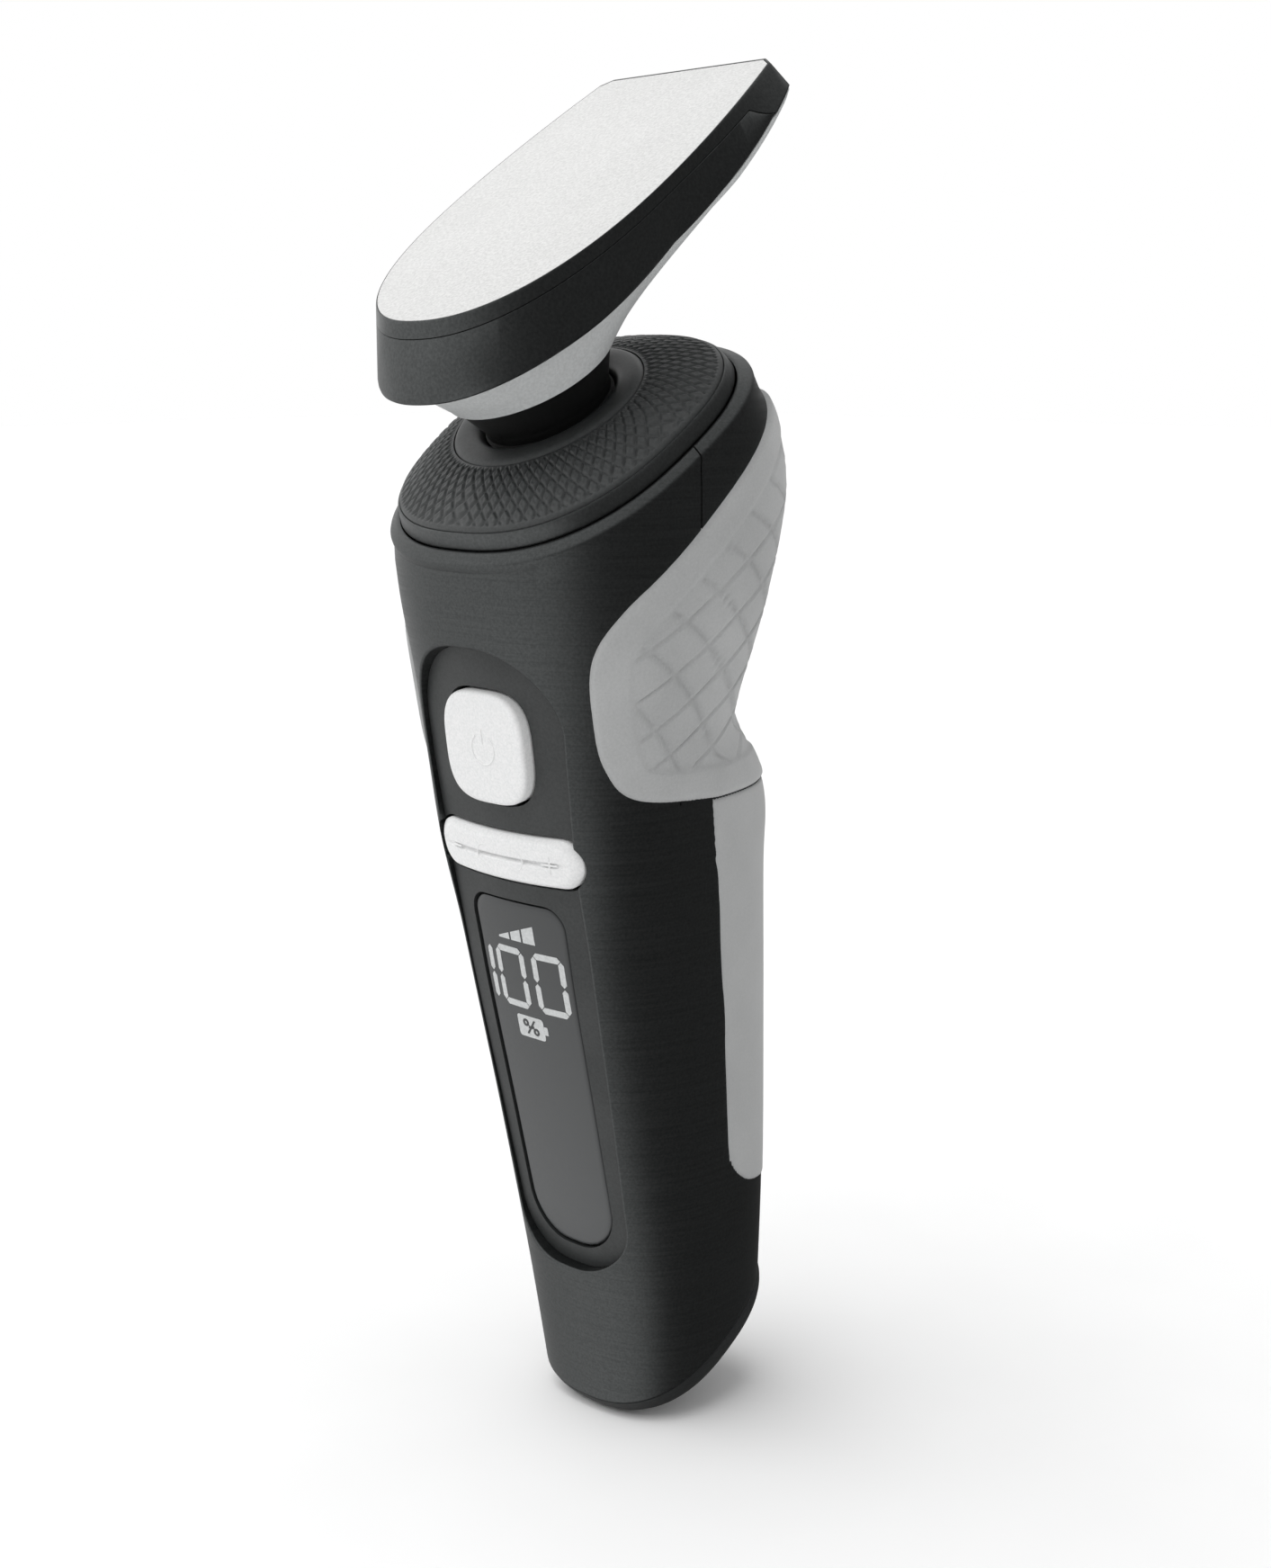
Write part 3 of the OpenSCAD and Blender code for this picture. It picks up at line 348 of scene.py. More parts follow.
def turned(name, profile, steps=96):
    """A piece turned about the deck's axis from a closed profile of (radius, height)."""
    verts = [tuple(deck_point(r, 0, h)) for r, h in profile]
    n = len(profile)
    mesh = bpy.data.meshes.new(name)
    mesh.from_pydata(verts, [(k, (k + 1) % n) for k in range(n)], [])
    obj = bpy.data.objects.new(name, mesh)
    bpy.context.scene.collection.objects.link(obj)
    in_edit_mode(obj, (bpy.ops.mesh.spin, {
        "steps": steps, "angle": TAU, "use_auto_merge": True,
        "center": tuple(deck_point(0, 0, 0)), "axis": (0, -SN, CS)}))
    close_up(obj)
    return obj


def ready(obj, body, finish, angle=35, stands_for=()):
    """Last steps of every piece: shading, material, and the body it rides on."""
    show_only(obj)
    bpy.ops.object.shade_smooth_by_angle(angle=math.radians(angle))
    obj.data.materials.clear()
    obj.data.materials.append(material(finish))
    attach(obj, body)
    if stands_for:
        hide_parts(*stands_for)
    return obj


def outline_block(name, outline, near, far, place):
    """A cutter or block from an outline, between two depths."""
    return lofted(name, [place(outline[:, 0], outline[:, 1], near), place(outline[:, 0], outline[:, 1], far)])


def joined(name, objects):
    """Several closed shells as one piece."""
    show_only(objects[0])
    for other in objects[1:]:
        other.select_set(True)
    bpy.ops.object.join()
    objects[0].name = name
    return objects[0]


# ---- Materials -----------------------------------------------------------------------------------
def linear(hex_colour):
    """sRGB hex to linear RGBA."""
    out = []
    for k in (1, 3, 5):
        c = int(hex_colour[k:k + 2], 16) / 255
        out.append(c / 12.92 if c <= 0.04045 else ((c + 0.055) / 1.055) ** 2.4)
    return (*out, 1.0)


def tone(colour):
    """Linear RGBA of a hex colour, or of a colour property, which is linear already."""
    return linear(colour) if isinstance(colour, str) else (*colour, 1.0)


def add(tree, kind, inputs=None, **settings):
    """Adds one node; inputs are values, or sockets to link."""
    made = tree.nodes.new(kind)
    for key, value in settings.items():
        setattr(made, key, value)
    for key, value in (inputs or {}).items():
        if isinstance(value, bpy.types.NodeSocket):
            tree.links.new(value, made.inputs[key])
        else:
            made.inputs[key].default_value = value
    return made


def started(name, **sockets):
    """An empty material with its Principled shader, its tree and Object coordinates."""
    mat = bpy.data.materials.new(name)
    mat.use_nodes = True
    tree = mat.node_tree
    tree.nodes.clear()
    shader = add(tree, "ShaderNodeBsdfPrincipled", sockets)
    add(tree, "ShaderNodeOutputMaterial", {"Surface": shader.outputs[0]})
    coords = add(tree, "ShaderNodeTexCoord").outputs["Object"]
    return mat, tree, shader, coords


def toned(tree, fac, dark, light, low=0.35, high=0.65):
    """Colour between two tones, driven by a pattern."""
    share = add(tree, "ShaderNodeMapRange", {0: fac, 1: low, 2: high, 3: 0.0, 4: 1.0}).outputs[0]
    mixed = add(tree, "ShaderNodeMix", {0: share, 6: tone(dark), 7: tone(light)}, data_type="RGBA")
    return mixed.outputs[2]


def moulded(name, dark, light, roughness, grain=0.35, depth=0.006, metallic=0.0, coat=0.0):
    """Moulded plastic with a spark-eroded grain: tiny pits of grain mm that break up the gloss."""
    mat, tree, shader, coords = started(name, **{
        "Metallic": metallic, "IOR": 1.47, "Coat Weight": coat, "Coat Roughness": 0.2})
    fine = add(tree, "ShaderNodeTexNoise", {
        "Vector": coords, "Scale": 1 / (grain * MM), "Detail": 3.0, "Roughness": 0.6}).outputs["Fac"]
    broad = add(tree, "ShaderNodeTexNoise", {
        "Vector": coords, "Scale": 1 / (9 * MM), "Detail": 2.0}).outputs["Fac"]
    tree.links.new(toned(tree, fine, dark, light), shader.inputs["Base Color"])
    rough = add(tree, "ShaderNodeMapRange", {
        0: broad, 1: 0.3, 2: 0.7, 3: roughness - 0.08, 4: roughness + 0.08})
    tree.links.new(rough.outputs[0], shader.inputs["Roughness"])
    bump = add(tree, "ShaderNodeBump", {"Height": fine, "Strength": 1.0, "Distance": depth * MM})
    tree.links.new(bump.outputs[0], shader.inputs["Normal"])
    return mat


def brushed(name, dark, light, roughness, lines=0.22, length=14.0, depth=0.005, metallic=1.0, across="Z"):
    """Metal brushed with a belt: long scratches lines mm apart that run square to the given axis."""
    mat, tree, shader, coords = started(name, **{"Metallic": metallic, "Anisotropic": 0.35})
    fine, long = 1 / (lines * MM), 1 / (length * MM)
    scale = tuple(fine if axis == across else long for axis in "XYZ")
    stretched = add(tree, "ShaderNodeMapping", {"Vector": coords, "Scale": scale}).outputs[0]
    scratch = add(tree, "ShaderNodeTexNoise", {
        "Vector": stretched, "Scale": 1.0, "Detail": 4.0, "Roughness": 0.65}).outputs["Fac"]
    speck = add(tree, "ShaderNodeTexNoise", {
        "Vector": coords, "Scale": 1 / (0.3 * MM), "Detail": 2.0}).outputs["Fac"]
    pattern = add(tree, "ShaderNodeMath", {0: scratch, 1: speck}, operation="ADD").outputs[0]
    half = add(tree, "ShaderNodeMath", {0: pattern, 1: 0.5}, operation="MULTIPLY").outputs[0]
    tree.links.new(toned(tree, half, dark, light, 0.38, 0.62), shader.inputs["Base Color"])
    rough = add(tree, "ShaderNodeMapRange", {
        0: scratch, 1: 0.3, 2: 0.7, 3: roughness - 0.06, 4: roughness + 0.06})
    tree.links.new(rough.outputs[0], shader.inputs["Roughness"])
    bump = add(tree, "ShaderNodeBump", {"Height": half, "Strength": 1.0, "Distance": depth * MM})
    tree.links.new(bump.outputs[0], shader.inputs["Normal"])
    return mat


def soft_rubber(name, dark, light):
    """Silicone rubber: matt, with dust-fine mottling and a slight sheen at glancing angles."""
    mat, tree, shader, coords = started(name, **{
        "IOR": 1.41, "Sheen Weight": 0.25, "Sheen Roughness": 0.5, "Specular IOR Level": 0.35})
    fine = add(tree, "ShaderNodeTexNoise", {
        "Vector": coords, "Scale": 1 / (0.3 * MM), "Detail": 4.0, "Roughness": 0.7}).outputs["Fac"]
    broad = add(tree, "ShaderNodeTexNoise", {
        "Vector": coords, "Scale": 1 / (12 * MM), "Detail": 2.0}).outputs["Fac"]
    both = add(tree, "ShaderNodeMath", {0: fine, 1: broad}, operation="ADD").outputs[0]
    half = add(tree, "ShaderNodeMath", {0: both, 1: 0.5}, operation="MULTIPLY").outputs[0]
    tree.links.new(toned(tree, half, dark, light), shader.inputs["Base Color"])
    rough = add(tree, "ShaderNodeMapRange", {0: fine, 1: 0.3, 2: 0.7, 3: 0.72, 4: 0.86})
    tree.links.new(rough.outputs[0], shader.inputs["Roughness"])
    bump = add(tree, "ShaderNodeBump", {"Height": fine, "Strength": 1.0, "Distance": 0.012 * MM})
    tree.links.new(bump.outputs[0], shader.inputs["Normal"])
    return mat


def smoked_lens(name, dark, light):
    """Smoked acrylic with a satin hard coat: dark, slightly lighter towards its lower end."""
    mat, tree, shader, coords = started(name, **{"IOR": 1.49, "Coat Weight": 0.3, "Coat Roughness": 0.22})
    height = add(tree, "ShaderNodeSeparateXYZ", {0: coords}).outputs["Z"]
    fall = add(tree, "ShaderNodeMapRange", {
        0: height, 1: 72 * MM, 2: 24 * MM, 3: 0.0, 4: 1.0}).outputs[0]
    cloud = add(tree, "ShaderNodeTexNoise", {
        "Vector": coords, "Scale": 1 / (0.4 * MM), "Detail": 2.0}).outputs["Fac"]
    both = add(tree, "ShaderNodeMath", {0: cloud, 1: 0.12, 2: fall}, operation="MULTIPLY_ADD").outputs[0]
    tree.links.new(toned(tree, both, dark, light, 0, 1), shader.inputs["Base Color"])
    rough = add(tree, "ShaderNodeMapRange", {0: cloud, 1: 0.3, 2: 0.7, 3: 0.34, 4: 0.42})
    tree.links.new(rough.outputs[0], shader.inputs["Roughness"])
    return mat


# Each finish: the function that makes it, and its settings; tones names a pair of the panel's colours
FINISHES = {
    # Steel shell, belt brushed round the handle, under a dark grey lacquer
    "brushed_lacquered_steel": (brushed, dict(
        tones="shell", roughness=0.42, lines=0.3, length=18, metallic=0.95)),
    "silicone_rubber_grey": (soft_rubber, dict(tones="grip")),
    "silicone_rubber_strip": (soft_rubber, dict(dark="#a0a1a1", light="#acadad")),
    "satin_abs_panel": (moulded, dict(dark="#2c2e2e", light="#353737", roughness=0.5)),
    "satin_abs_deck": (moulded, dict(dark="#353737", light="#3f4141", roughness=0.45, depth=0.006)),
    "satin_abs_ring": (moulded, dict(dark="#505252", light="#5b5d5d", roughness=0.42, metallic=0.85)),
    # Satin metallised finish of the head
    "metallised_abs_head": (moulded, dict(
        dark="#4a4c4c", light="#565858", roughness=0.4, depth=0.009, metallic=0.92)),
    "satin_abs_cap": (moulded, dict(dark="#242626", light="#2c2e2e", roughness=0.52)),
    "black_pom": (moulded, dict(dark="#0c0d0d", light="#141515", roughness=0.55)),
    "smoked_acrylic": (smoked_lens, dict(dark="#303233", light="#424445")),
    "printed_enamel": (moulded, dict(dark="#bfc1c1", light="#cfd1d1", roughness=0.5, depth=0.002)),
    "printed_dark": (moulded, dict(dark="#3a3c3c", light="#444646", roughness=0.5, depth=0.002)),
    "white_abs_key": (moulded, dict(tones="key", roughness=0.45, grain=0.3, depth=0.004)),
    # Light plate with mica flakes in the plastic, seen as fine speckles
    "flaked_white_plate": (moulded, dict(tones="plate", roughness=0.42, grain=0.35, depth=0.010)),
    "light_grey_abs": (moulded, dict(dark="#b4b6b6", light="#c2c4c4", roughness=0.42, depth=0.004)),
    "ground_blade_steel": (brushed, dict(
        dark="#b8babb", light="#dcdedf", roughness=0.25, lines=0.15, length=6, across="X", depth=0.003)),
    "turned_steel": (brushed, dict(dark="#a4a6a8", light="#cfd1d2", roughness=0.3, lines=0.12, length=5)),
    "nickel_can": (brushed, dict(dark="#8f9193", light="#b4b6b8", roughness=0.32, lines=0.2, length=9)),
    "brass": (brushed, dict(dark="#a07c34", light="#c49d4e", roughness=0.3, lines=0.12, length=4)),
    "grey_nylon": (moulded, dict(dark="#4a4d4f", light="#5c5f61", roughness=0.6)),
    "natural_acetal": (moulded, dict(dark="#d6d3c6", light="#e6e4da", roughness=0.45)),
    "solder_mask_green": (moulded, dict(dark="#174a2a", light="#22603a", roughness=0.35, coat=0.4)),
    "cell_sleeve_blue": (moulded, dict(dark="#2d5a92", light="#3f73b2", roughness=0.3, coat=0.4)),
    "black_seal_rubber": (soft_rubber, dict(dark="#0f0f0f", light="#171717")),
    "display_glass": (smoked_lens, dict(dark="#15191a", light="#24292b")),
}
_made = {}


def material(name):
    """The material of that finish, made once."""
    if name not in _made:
        maker, settings = FINISHES[name]
        settings = dict(settings)
        if "tones" in settings:
            tones = settings.pop("tones")
            for shade in ("dark", "light"):
                settings[shade] = getattr(bpy.context.scene.shaver_colours, f"{tones}_{shade}")
        _made[name] = maker(name, **settings)
    return _made[name]


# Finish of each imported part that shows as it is, or sits inside
PART_FINISH = {
    "charging_socket": "black_pom",
    "display_module": "display_glass",
    "power_spring": "black_seal_rubber",
    "menu_pin": "turned_steel",
    "key_carrier": "grey_nylon",
    "tact_switches": "black_pom",
    "circuit_board": "solder_mask_green",
    "battery_cell": "cell_sleeve_blue",
    "battery_contacts": "nickel_can",
    "chassis": "grey_nylon",
    "deck_plate": "grey_nylon",
    "gear_plate": "nickel_can",
    "gear_screws": "turned_steel",
    "motor": "nickel_can",
    "motor_shaft": "turned_steel",
    "motor_pinion": "brass",
    "drive_gear": "natural_acetal",
    "drive_shaft": "turned_steel",
    "drive_bush": "brass",
    "neck_seal": "black_seal_rubber",
    "trimmer_frame": "grey_nylon",
    "eccentric_spindle": "turned_steel",
    "lever_pin": "turned_steel",
    "drive_lever": "natural_acetal",
    "comb_blade": "ground_blade_steel",
    "cutter_blade": "ground_blade_steel",
}


class SHAVER_OT_parts(bpy.types.Operator):
    """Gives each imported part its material."""

    bl_idname = "shaver.parts"
    bl_label = "Finish parts"

    def execute(self, context):
        for name, finish in PART_FINISH.items():
            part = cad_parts[name]
            part.data.materials.clear()
            part.data.materials.append(material(finish))
        return {"FINISHED"}


# ---- Handle --------------------------------------------------------------------------------------
def even_stations(low, high, spacing):
    """Places along the stations that lie about spacing apart on the skin's side."""
    s = np.linspace(low, high, 400)
    p = skin_point(s, 0.6)
    run = np.concatenate(([0], np.cumsum(np.linalg.norm(np.diff(p, axis=0), axis=1))))
    return np.interp(np.linspace(0, run[-1], int(run[-1] / spacing) + 1), run, s)


def handle_tube(name):
    """The handle's wall: outside up to a rounded rim, inside down again."""
    t = np.arange(168) * TAU / 168
    stations = even_stations(0, len(STATIONS) - 1.0, 1.1 * MM)
    outside = [skin_point(s, t) for s in stations if s < 11.1]
    first = [skin_point(0, t, -0.12 * MM), skin_point(0.02, t, 0.0)]
    top = len(STATIONS) - 1
    rim = [skin_point(top, t, g * MM, h * MM) for g, h in (
        (0.98, 0.2), (1.04, 0.8), (1.0, 1.1), (0.88, 1.3), (0.7, 1.45), (0.1, 1.9),
        (-0.1, 2.04), (-0.3, 2.08), (-0.45, 2.02), (-0.52, 1.85), (-0.55, 0.6))]
    inside = [skin_point(top, t, -1.2 * MM, -2 * MM)]
    inside += [skin_point(s, t, -WALL) for s in (10.5, 9, 7.5, 6.5, 5.5, 4, 2, 0.3, 0)]
    return lofted(name, first + outside[1:] + rim + inside, loop=True)


def box_cutter(name, low, high):
    """A plain box between two corners, to cut with."""
    low, high = np.array(low), np.array(high)
    bpy.ops.object.select_all(action="DESELECT")
    bpy.ops.mesh.primitive_cube_add(size=1, location=tuple((low + high) / 2), scale=tuple(high - low))
    box = bpy.context.object
    box.name = name
    bpy.ops.object.transform_apply(location=True, rotation=True, scale=True)
    return box


def panel_rim():
    """Rounded lip of the shell round the panel's recess."""
    out = outward(PANEL_OUTLINE)
    r = 0.35 * MM
    profile = [(r, 0.0)] + [(r - r * math.sin(a), r - r * math.cos(a)) for a in np.radians((30, 60, 90))]
    profile += [(0, 2.2 * MM), (2 * r, 2.2 * MM), (2 * r, r)]
    rings = []
    for across, depth in profile:
        p = PANEL_OUTLINE + out * across
        rings.append(np.stack((p[:, 0], skin_front(p[:, 0], p[:, 1]) + depth, p[:, 1]), -1))
    return lofted("panel_rim", rings, loop=True)


def bar_slot():
    """Cutter for the slot that the menu bar moves in."""
    slot = stadium(BAR_LENGTH / 2 + BAR_GAP, BAR_H / 2 + 0.35 * MM)
    return lofted("bar_slot", [key_ring(BAR_Z, slot, -9 * MM), key_ring(BAR_Z, slot, 6 * MM)])


class SHAVER_OT_shells(bpy.types.Operator):
    """Models the front shell with its panel recess, and the rear shell that meets it at side seams."""

    bl_idname = "shaver.shells"
    bl_label = "Handle shells"

    def execute(self, context):
        front = handle_tube("front_shell_skin")
        rear = handle_tube("rear_shell_skin")
        seam_gap = 0.1 * MM
        cut(front, box_cutter("rear_cut", (-0.1, SEAM_Y - seam_gap, LEDGE_Z), (0.1, 0.2, 0.3)))
        cut(rear, box_cutter("rear_keep", (-0.1, SEAM_Y + seam_gap, LEDGE_Z), (0.1, 0.2, 0.3)), "INTERSECT")
        wider = PANEL_OUTLINE + outward(PANEL_OUTLINE) * 0.35 * MM
        cut(front, outline_block("panel_cut", wider, -20 * MM, 7 * MM, panel_point))
        cut(front, bar_slot())
        ready(front, "handle", "brushed_lacquered_steel", stands_for=("front_shell",))
        ready(rear, "handle", "brushed_lacquered_steel", stands_for=("rear_shell",))
        lip = panel_rim()
        cut(lip, bar_slot())
        ready(lip, "handle", "brushed_lacquered_steel", angle=50)
        return {"FINISHED"}


def skin_patch(name, low, high, t_low, t_high, columns, outline, height):
    """A piece laid on the handle's skin inside a side-view outline.

    Height gives its rise from the distance inside that outline, z, and the way round from its middle.
    """
    s = even_stations(low, high, 0.36 * MM)
    t = np.radians(np.linspace(t_low, t_high, columns))
    ss, tt = np.meshgrid(s, t, indexing="ij")
    flat = skin_point(ss.ravel(), tt.ravel())
    inside = inside_distance(flat[:, 1:], outline)
    rows = flat.reshape(len(s), len(t), 3)
    steps = np.linalg.norm(np.diff(rows[..., :2], axis=1), axis=2)
    around = np.concatenate((np.zeros((len(s), 1)), np.cumsum(steps, 1)), 1)
    around -= around[:, len(t) // 2:len(t) // 2 + 1]
    rise = height(inside, flat[:, 2], around.ravel())
    points = skin_point(ss.ravel(), tt.ravel(), rise)
    n = len(t)
    k = (np.arange(len(s) - 1)[:, None] * n + np.arange(n - 1)[None]).ravel()
    faces = np.stack((k, k + 1, k + n + 1, k + n), -1)
    faces = faces[(inside[faces] > -0.7 * MM).any(1)]
    used = np.unique(faces)
    place = np.full(len(points), -1)
    place[used] = np.arange(len(used))
    obj = new_object(name, points[used], place[faces])
    in_edit_mode(obj, (bpy.ops.mesh.normals_make_consistent, {"inside": False}))
    radial = obj.data.vertices[0].co * Vector((1, 1, 0))
    if obj.data.polygons[0].normal.dot(radial) < 0:
        in_edit_mode(obj, (bpy.ops.mesh.flip_normals, {}))
    apply_modifier(obj, "SOLIDIFY", thickness=PATCH_T, offset=-1)
    return obj


def edge_rise(inside, proud):
    """Rises steeply out of the shell through its edge, then rolls over to its full height."""
    straight = 0.35 * proud
    over = np.maximum(2 * inside - straight, 0)
    rolled = straight + (proud - straight) * (1 - np.exp(-over / (proud - straight)))
    return np.where(2 * inside < straight, np.maximum(2 * inside, -0.7 * MM), rolled)


def cover_rise(inside, z, around):
    """The strip stands just proud of the shell, the same all over."""
    return edge_rise(inside, 0.14 * MM)


def grip_rise(inside, z, around):
    """Smooth border, then a lattice of engraved lines in a field set slightly lower."""
    sizes = bpy.context.scene.shaver_sizes
    rise = edge_rise(inside, 0.5 * MM)
    border = 3.6 * MM
    field = np.clip((inside - border) / (0.45 * MM), 0, 1)
    field = field * field * (3 - 2 * field)
    lines = np.full(len(inside), 1e9)
    for way in (1, -1):
        phase = (z - 86 * MM + way * 0.61 * around) / sizes.lattice_pitch
        lines = np.minimum(lines, np.abs(phase - np.round(phase)) * sizes.lattice_pitch * 0.853)
    groove = np.exp(-((lines / (0.26 * MM)) ** 2))
    ridge = np.exp(-(((lines - 0.5 * MM) / (0.2 * MM)) ** 2))
    shown = np.clip((inside - border - 0.3 * MM) / (0.5 * MM), 0, 1)
    return rise - 0.22 * MM * field + shown * (0.05 * MM * ridge - sizes.lattice_depth * groove)


class SHAVER_OT_grip(bpy.types.Operator):
    """Models the grip with its border and lattice."""

    bl_idname = "shaver.grip"
    bl_label = "Rubber grip"

    def execute(self, context):
        obj = skin_patch("rubber_grip_skin", low=3.9, high=11.95, t_low=-72, t_high=252, columns=321,
                         outline=GRIP_OUTLINE, height=grip_rise)
        ready(obj, "handle", "silicone_rubber_grey", angle=60, stands_for=("rubber_grip",))
        return {"FINISHED"}


class SHAVER_OT_cover(bpy.types.Operator):
    """Models the strip down the back."""

    bl_idname = "shaver.cover"
    bl_label = "Back cover"

    def execute(self, context):
        obj = skin_patch("back_cover_skin", low=0.8, high=6.6, t_low=0, t_high=180, columns=221,
                         outline=COVER_OUTLINE, height=cover_rise)
        ready(obj, "handle", "silicone_rubber_strip", angle=60, stands_for=("back_cover",))
        return {"FINISHED"}


class SHAVER_OT_cap(bpy.types.Operator):
    """Models the rounded end cap, its flat foot and the socket's hole."""

    bl_idname = "shaver.cap"
    bl_label = "Bottom cap"

    def execute(self, context):
        t = np.arange(168) * TAU / 168
        rings = [skin_point(0, t, -2.8 * MM, -0.3 * MM), skin_point(0, t, -0.25 * MM, -0.12 * MM)]
        for a in np.radians((4, 12, 22, 32, 42, 52, 62, 70, 78, 84, 90)):
            rings.append(skin_point(0, t, -0.08 * MM - 2.4 * MM * (1 - math.cos(a)), -3.8 * MM * math.sin(a)))
        foot = rings[-1]
        rings += [foot * share + foot.mean(0) * (1 - share) for share in (0.8, 0.5, 0.2)]
        obj = lofted("bottom_cap_skin", rings)
        in_edit_mode(obj, (bpy.ops.mesh.bisect, {
            "plane_co": (0, 0, 0.00001), "plane_no": (0, 0, 1), "use_fill": True, "clear_inner": True}))
        low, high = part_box("charging_socket")
        middle = (low + high) / 2
        bpy.ops.object.select_all(action="DESELECT")
        bpy.ops.mesh.primitive_cylinder_add(vertices=64, radius=INLET_R, depth=0.04, rotation=(SLANT, 0, 0),
                                            location=tuple(middle))
        drill = bpy.context.object
        bpy.ops.object.transform_apply(location=True, rotation=True, scale=True)
        cut(obj, drill)
        close_up(obj)
        ready(obj, "handle", "satin_abs_cap", stands_for=("bottom_cap",))
        return {"FINISHED"}


# ---- Front panel, display and keys ---------------------------------------------------------------
def on_panel(z, local, curve=0.0):
    """Points given as (x, up, out) from the panel's surface at height z, bent back across by curve."""
    origin, up, out = panel_axes(z)
    local = np.asarray(local, float)
    back = local[:, :1] ** 2 * curve
    return origin + local[:, :1] * np.array((1, 0, 0)) + local[:, 1:2] * up + (local[:, 2:3] - back) * out


def key_ring(z, outline, out, curve=0.0):
    return on_panel(z, np.column_stack((outline, np.full(len(outline), out))), curve)


def scaled_rings(outline, shares, place):
    """Rings that shrink towards the outline's middle, so a curved face has points all over."""
    middle = np.array((0, (outline[:, 1].max() + outline[:, 1].min()) / 2))
    return [place(*(middle + (outline - middle) * share).T) for share in shares]


FACE_SHARES = (0.97, 0.9, 0.8, 0.68, 0.54, 0.4, 0.26, 0.12)


class SHAVER_OT_panel(bpy.types.Operator):
    """Models the control panel with the openings for keys and window."""

    bl_idname = "shaver.panel"
    bl_label = "Front panel"

    def execute(self, context):
        edge = PANEL_OUTLINE - outward(PANEL_OUTLINE) * 0.04 * MM
        back = scaled_rings(edge, FACE_SHARES[::-1] + (1,), lambda x, z: panel_point(x, z, PANEL_T))
        face = scaled_rings(edge, (1,) + FACE_SHARES, panel_point)
        obj = lofted("front_panel_face", back + face)
        hole = superellipse(7.1 * MM, 7.25 * MM, 3.2, 96)
        cut(obj, lofted("power_hole", [key_ring(POWER_Z, hole, -6 * MM), key_ring(POWER_Z, hole, 6 * MM)]))
        cut(obj, bar_slot())
        recess = WINDOW_OUTLINE + outward(WINDOW_OUTLINE) * 0.28 * MM
        cut(obj, outline_block("window_recess", recess, -4 * MM, 1.2 * MM, panel_point))
        ready(obj, "handle", "satin_abs_panel", stands_for=("front_panel",))
        return {"FINISHED"}


class SHAVER_OT_window(bpy.types.Operator):
    """Models the smoked lens, a little below the panel, with a rolled edge."""

    bl_idname = "shaver.window"
    bl_label = "Display window"

    def execute(self, context):
        out = outward(WINDOW_OUTLINE)

        def ring(inset, depth):
            p = WINDOW_OUTLINE - out * inset * MM
            return panel_point(p[:, 0], p[:, 1], depth * MM)

        edge = ((0.3, 1.15), (0, 1.1), (0, 0.45), (0.08, 0.3), (0.25, 0.2), (0.5, 0.15))
        rings = [ring(inset, depth) for inset, depth in edge]
        inner = WINDOW_OUTLINE - out * 0.5 * MM
        rings += scaled_rings(inner, FACE_SHARES, lambda x, z: panel_point(x, z, 0.15 * MM))
        obj = lofted("display_window_lens", rings)
        ready(obj, "handle", "smoked_acrylic", stands_for=("display_window",))
        return {"FINISHED"}


def printed(name, outline, lift=0.05):
    """One printed mark on the lens, as a thin plate from an outline of (x, z) in mm."""
    x, z = np.array(outline).T * MM
    return lofted(name, [panel_point(x, z, 0.2 * MM), panel_point(x, z, (0.15 - lift) * MM)])


def segment(cx, cz, length, width, upright):
    """Pointed bar of a seven-segment digit."""
    a, b = length / 2, width / 2
    bar = [(a - b, -b), (a, 0), (a - b, b), (b - a, b), (-a, 0), (b - a, -b)]
    return [(cx + (y if upright else x), cz + (x if upright else y)) for x, y in bar]


